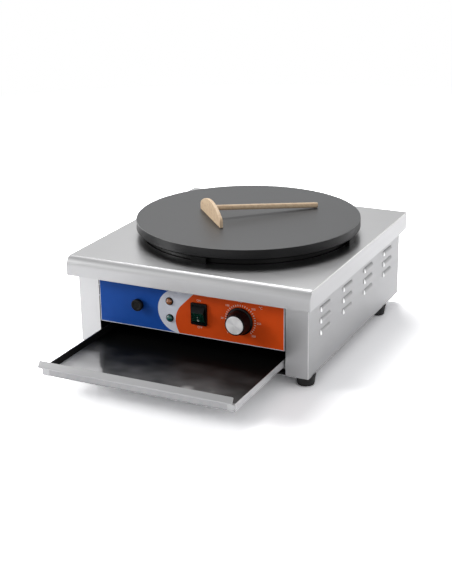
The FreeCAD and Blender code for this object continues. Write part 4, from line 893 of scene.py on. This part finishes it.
drawerLook = {
    "sheet": 0.0012, "corner": 0.003, "tightest": 0.0002, "fold": 0.0025, "foldSteps": 5, "rimRound": 0.0003,
    "gripSpan": 0.1715, "gripReach": 0.014, "gripRise": 0.005, "gripLip": 0.0095, "gripLean": 0.007,
    "gripLeg": 0.011, "gripFold": 0.0018, "gripRound": 0.0018, "gripEdge": 0.0003,
    "tabWidth": 0.013, "tabHeight": 0.0115, "tabInset": 0.0005, "tabDrop": 0.0012, "tabFront": 1.25,
    "tabBack": 0.4, "leftCut": 0.0015, "rightCut": 0.006,
}


def roundedRing(low, high, inset):
    radius = max(drawerLook["corner"] - inset, drawerLook["tightest"])
    left, right, front, back = low.x + inset, high.x - inset, low.y + inset, high.y - inset
    spots = ((left, front), (right, front), (right, back), (left, back))
    return softLine([(x, y, radius) for x, y in spots], 5, True)


def makePan():
    look = drawerLook
    low, high = corners("tray_pan")
    centre = middle("tray_pan")
    sheet, fold, soft, steps = look["sheet"], look["fold"], look["rimRound"], look["foldSteps"]
    inner = fold - sheet
    angles = [math.radians(90 * step / steps) for step in range(steps + 1)]
    stages = [(fold * (1 - math.sin(angle)), low.z + fold * (1 - math.cos(angle))) for angle in angles]
    stages += [(0, high.z - soft), (soft, high.z), (sheet - soft, high.z), (sheet, high.z - soft)]
    stages += [(sheet + inner * (1 - math.sin(angle)), low.z + sheet + inner * (1 - math.cos(angle)))
               for angle in reversed(angles)]        # up the outside, over the rim and down the inside
    bm = bmesh.new()
    rings = [[bm.verts.new((x, y, z)) for x, y in roundedRing(low, high, inset)] for inset, z in stages]
    for lower, upper in zip(rings, rings[1:]):
        joinRings(bm, lower, upper)
    bm.faces.new(rings[0][::-1])
    bm.faces.new(rings[-1])

    def faceFinish(face):        # 0 sheet, 1 basin, 2 side as a lighter painted-light copy of the sheet's steel, 3 front as a darker painted-shade copy, 4 inner walls painted near black as painted shade
        spot = face.calc_center_median()
        wallward = Vector((spot.x - centre.x, spot.y - centre.y, 0))
        if face.normal.z > 0.8 and spot.z < low.z + 0.004:
            return 1
        if face.normal.dot(wallward) < -1e-6 and abs(face.normal.z) < 0.85 and spot.z < high.z - 0.0004:
            return 4
        return 2 if abs(face.normal.x) > 0.7 else 3 if face.normal.y < -0.7 else 0
    # The front takes the darker painted-shade copy, the sides the lighter painted-light copy, and the inner
    # walls near black as painted shade
    newObject("drawer_pan", bm, "brushedTraySteel stainedBasin brushedTraySide brushedTrayLeg "
              "stainedBasinWall", "drawer", ["tray_pan"], 40, faceFinish)


def makeGrip():
    look = drawerLook
    low, high = corners("tray_pan")
    sheet, front, rim, span = look["sheet"], low.y, high.z, look["gripSpan"]
    half, out, fold = sheet / 2, front - look["gripReach"], look["gripFold"]
    crest = rim + look["gripRise"]
    tip = crest + look["gripLip"]
    line = [(front - half, rim - look["gripLeg"]), (front - half, rim - half, fold),
            (out + half, crest - half * 0.6, fold), (out + look["gripLean"] + half, tip - half)]
    bm = prism(stripOutline(softLine(line, 6), sheet), -span, span)
    ends = [edge for edge in bm.edges if edge.calc_length() < 1.5 * sheet
            and all(abs(vert.co.x) > span - 1e-6 and vert.co.z > tip - sheet for vert in edge.verts)]
    bmesh.ops.bevel(bm, geom=ends, offset=look["gripRound"], segments=4, profile=0.5, affect="EDGES")
    bevelSharp(bm, look["gripEdge"], 2, 60)
    # The grip's leg below the rim takes the darker painted-shade copy of the tray's steel
    newObject("drawer_grip", bm, "brushedTraySteel brushedTrayLeg", "drawer", ["tray_grip"],
              pick=lambda face: 1 if face.normal.y < -0.9 and face.calc_center_median().z < rim else 0)
    tabs = bmesh.new()
    top, bottom = rim - look["tabDrop"], rim - look["tabDrop"] - look["tabHeight"]
    for side, cut in ((-1, look["leftCut"]), (1, look["rightCut"])):
        outer = side * (span - look["tabInset"])
        inner = side * (span - look["tabInset"] - look["tabWidth"])
        outline = [(inner, top), (inner, bottom), (outer - side * cut, bottom), (outer, bottom + cut),
                   (outer, top)]
        prism(outline, front - look["tabFront"] * sheet, front - look["tabBack"] * sheet, "y", tabs)
    bevelSharp(tabs, look["gripEdge"])
    newObject("drawer_tabs", tabs, "brushedTraySteel", "drawer")


makePan()
makeGrip()
print("drawer made")


# Marks: a ring of ticks, plain numbers, and the switch's two words, printed on the label

markLook = {
    "rise": 0.00006, "tickCorners": [(0.0247, -0.3), (0.0279, -0.5), (0.0279, 0.5), (0.0247, 0.3)],
    "tickWide": 0.0015, "tickStep": 9, "ticks": 31, "first": 225,
    "numbers": [0, 50, 100, 150, 200, 250, 300], "numberStep": 45, "numberRadius": 0.0331,
    "numberSize": 0.0050, "degreePlace": (0.0455, 37), "degreeSize": 0.0062,
    "onPlace": (-0.0008, 0.0230), "offPlace": (0.0002, -0.0240), "wordSize": 0.0052,
}


# Flat type as a mesh, upright on the label with its middle at x, z
def typeOn(bm, words, x, z, size):
    curve = bpy.data.curves.new("type", "FONT")
    curve.body = words
    curve.size = size
    curve.align_x = "CENTER"
    curve.align_y = "CENTER"
    curve.extrude = markLook["rise"] / 2
    holder = addObject("type", curve)
    mesh = settledMesh(holder)
    face = corners("label_orange")[0].y - markLook["rise"] / 2
    mesh.transform(Matrix.Translation((x, face, z)) @ Matrix.Rotation(math.radians(90), 4, "X"))
    bm.from_mesh(mesh)
    bpy.data.objects.remove(holder)
    bpy.data.curves.remove(curve)
    bpy.data.meshes.remove(mesh)


def makeMarks():
    look = markLook
    centre, switch = middle("dial_knob"), middle("switch_body")
    face = corners("label_orange")[0].y
    heart = Vector((centre.x, centre.z))
    bm = bmesh.new()
    for tick in range(look["ticks"]):
        angle = math.radians(look["first"] - tick * look["tickStep"])
        way = Vector((math.cos(angle), math.sin(angle)))
        across = Vector((-way.y, way.x))
        outline = [heart + way * radius + across * share * look["tickWide"]
                   for radius, share in look["tickCorners"]]
        prism(outline, face - look["rise"], face + look["rise"], "y", bm)
    newObject("dial_ticks", bm, "inkPale", "cabinet")
    bm = bmesh.new()

    def typeRound(words, radius, degrees, size):
        angle = math.radians(degrees)
        typeOn(bm, words, centre.x + radius * math.cos(angle), centre.z + radius * math.sin(angle), size)
    for index, number in enumerate(look["numbers"]):
        typeRound(str(number), look["numberRadius"], look["first"] - index * look["numberStep"],
                  look["numberSize"])
    typeRound("°C", *look["degreePlace"], look["degreeSize"])
    newObject("dial_numbers", bm, "inkPale", "cabinet")
    bm = bmesh.new()
    for words, (right, up) in (("ON", look["onPlace"]), ("OFF", look["offPlace"])):
        typeOn(bm, words, switch.x + right, switch.z + up, look["wordSize"])
    newObject("switch_words", bm, "inkPale", "cabinet")


# The rocker's own marks: a bar on the window and a ring at its foot

rockerMarks = {
    "rise": 0.00012, "ringRadii": (0.0011, 0.0017), "ringHeight": 0.0032, "ringSquash": 1.25,
    "ringSteps": 24, "barHalf": 0.0004, "barFoot": 0.0088, "barTop": 0.0112,
}


def makeRockerMarks():
    look = rockerMarks
    x = middle("rocker_window").x
    foot = Vector((-rockerLook["end"], -rockerLook["half"]))
    along = (Vector((-rockerLook["apex"], rockerLook["ridge"])) - foot).normalized()
    out = Vector((-along.y, along.x))
    bm = bmesh.new()

    def spot(right, up):
        y, z = rockerPoint(*(foot + along * up + out * look["rise"]))
        return bm.verts.new((x + right, y, z))
    angles = [2 * math.pi * step / look["ringSteps"] for step in range(look["ringSteps"])]
    joinRings(bm, *([spot(look["ringSquash"] * radius * math.cos(angle),
                          look["ringHeight"] + radius * math.sin(angle)) for angle in angles]
                    for radius in look["ringRadii"]))
    half, low, high = look["barHalf"], look["barFoot"], look["barTop"]
    bm.faces.new([spot(right, up) for right, up in ((-half, low), (half, low), (half, high), (-half, high))])
    bmesh.ops.solidify(bm, geom=bm.faces[:], thickness=look["rise"])
    newObject("rocker_marks", bm, "inkWhite", "rocker")


makeMarks()
makeRockerMarks()
print("marks made")


# Camera, at the photograph's viewing angle

cameraLook = {
    "place": (0.90641, -1.85009, 0.84668), "azimuth": 26.057, "elevation": 20.124, "roll": -0.892,
    "lens": 77.24, "sensor": 36.0, "farthest": 50,
}


def addCamera():
    azimuth, elevation, roll = (math.radians(cameraLook[key]) for key in ("azimuth", "elevation", "roll"))
    back = Vector((math.sin(azimuth) * math.cos(elevation), -math.cos(azimuth) * math.cos(elevation),
                   math.sin(elevation)))
    right = Vector((math.cos(azimuth), math.sin(azimuth), 0))
    up = back.cross(right)
    across = right * math.cos(roll) + up * math.sin(roll)
    upward = up * math.cos(roll) - right * math.sin(roll)
    data = bpy.data.cameras.new("camera")
    data.sensor_fit = "VERTICAL"
    data.sensor_height = cameraLook["sensor"]
    data.lens = cameraLook["lens"]
    data.clip_end = cameraLook["farthest"]
    turn = Matrix((across, upward, back)).transposed().to_4x4()
    scene.camera = addObject("camera", data)
    scene.camera.matrix_world = Matrix.Translation(Vector(cameraLook["place"])) @ turn


# Floor, world and lamps. Each lamp has its place, its aim, its size and its power.

studioLook = {
    "floorColour": (0.80, 0.80, 0.80), "floorSeen": (2.0, 2.0, 2.0), "floorSize": 12.0,
    "whiteFrom": 1.1, "whiteTo": 2.4, "ambient": (0.36, 0.36, 0.37),
    "sky": [(0.0, 1.0), (0.30, 0.92), (0.6, 0.78), (1.0, 0.74)],
    "lamps": {
        "backLeft": ((-0.72, 1.38, 2.12), (0, 0.1, 0.1), (1.1, 0.9), 31),
        "frontLeft": ((-2.7, -1.3, 1.4), (0, 0, 0.1), (1.3, 1.1), 50),
        "frontRight": ((2.1, -1.4, 1.0), (0.2, 0, 0.1), (0.9, 0.9), 4),
    },
}


# Gives seen to the rays that look straight at it or see it in metal or glass, and plain to the rest
def mixSeen(tree, plain, seen, target):
    light = addNode(tree, "ShaderNodeLightPath")
    looking = light.outputs["Is Camera Ray"]
    for other in ("Is Glossy Ray", "Is Transmission Ray"):
        either = addNode(tree, "ShaderNodeMath", operation="MAXIMUM")
        connect(tree, (looking, either.inputs[0]), (light.outputs[other], either.inputs[1]))
        looking = either.outputs[0]
    mix = addNode(tree, "ShaderNodeMixShader")
    connect(tree, (looking, mix.inputs["Fac"]), (plain.outputs[0], mix.inputs[1]),
            (seen.outputs[0], mix.inputs[2]), (mix.outputs[0], target.inputs["Surface"]))


def addFloor():
    bm = bmesh.new()
    bmesh.ops.create_grid(bm, x_segments=1, y_segments=1, size=studioLook["floorSize"])
    floor = meshObject("floor", bm)
    material = bpy.data.materials.new("paleFloor")
    material.use_nodes = True
    tree = material.node_tree
    tree.nodes.clear()
    plain, seen = (addNode(tree, "ShaderNodeBsdfDiffuse", {"Color": (*studioLook[key], 1)})
                   for key in ("floorColour", "floorSeen"))
    where = addNode(tree, "ShaderNodeTexCoord")
    away = addNode(tree, "ShaderNodeVectorMath", operation="LENGTH")
    fade = addNode(tree, "ShaderNodeMapRange", {"From Min": studioLook["whiteFrom"],
                                                "From Max": studioLook["whiteTo"]})
    white = addNode(tree, "ShaderNodeEmission")        # far off, the floor turns into the white backdrop
    far = addNode(tree, "ShaderNodeMixShader")
    connect(tree, (where.outputs["Object"], away.inputs[0]), (away.outputs["Value"], fade.inputs["Value"]),
            (fade.outputs["Result"], far.inputs["Fac"]), (seen.outputs[0], far.inputs[1]),
            (white.outputs[0], far.inputs[2]))
    mixSeen(tree, plain, far, addNode(tree, "ShaderNodeOutputMaterial"))
    floor.data.materials.append(material)


def addWorld():
    world = bpy.data.worlds.new("studio")
    scene.world = world
    world.use_nodes = True
    tree = world.node_tree
    backdrop = tree.nodes["Background"]
    soft = addNode(tree, "ShaderNodeBackground", {"Color": (*studioLook["ambient"], 1)})
    where, split = addNode(tree, "ShaderNodeTexCoord"), addNode(tree, "ShaderNodeSeparateXYZ")
    sky = colourRamp(tree, split.outputs["Z"], greys(studioLook["sky"]))
    connect(tree, (where.outputs["Generated"], split.inputs[0]), (sky, backdrop.inputs["Color"]))
    mixSeen(tree, soft, backdrop, tree.nodes["World Output"])


def addLamp(name, place, aim, size, power):
    data = bpy.data.lights.new(name, "AREA")
    data.shape = "RECTANGLE"
    data.size, data.size_y = size
    data.energy = power
    turn = (Vector(aim) - Vector(place)).to_track_quat("-Z", "Y").to_matrix().to_4x4()
    addObject(name, data).matrix_world = Matrix.Translation(Vector(place)) @ turn


addCamera()
addFloor()
addWorld()
for lampName, settings in studioLook["lamps"].items():
    addLamp(lampName, *settings)
scene.view_settings.view_transform = "Standard"
print("camera, studio and lamps set")
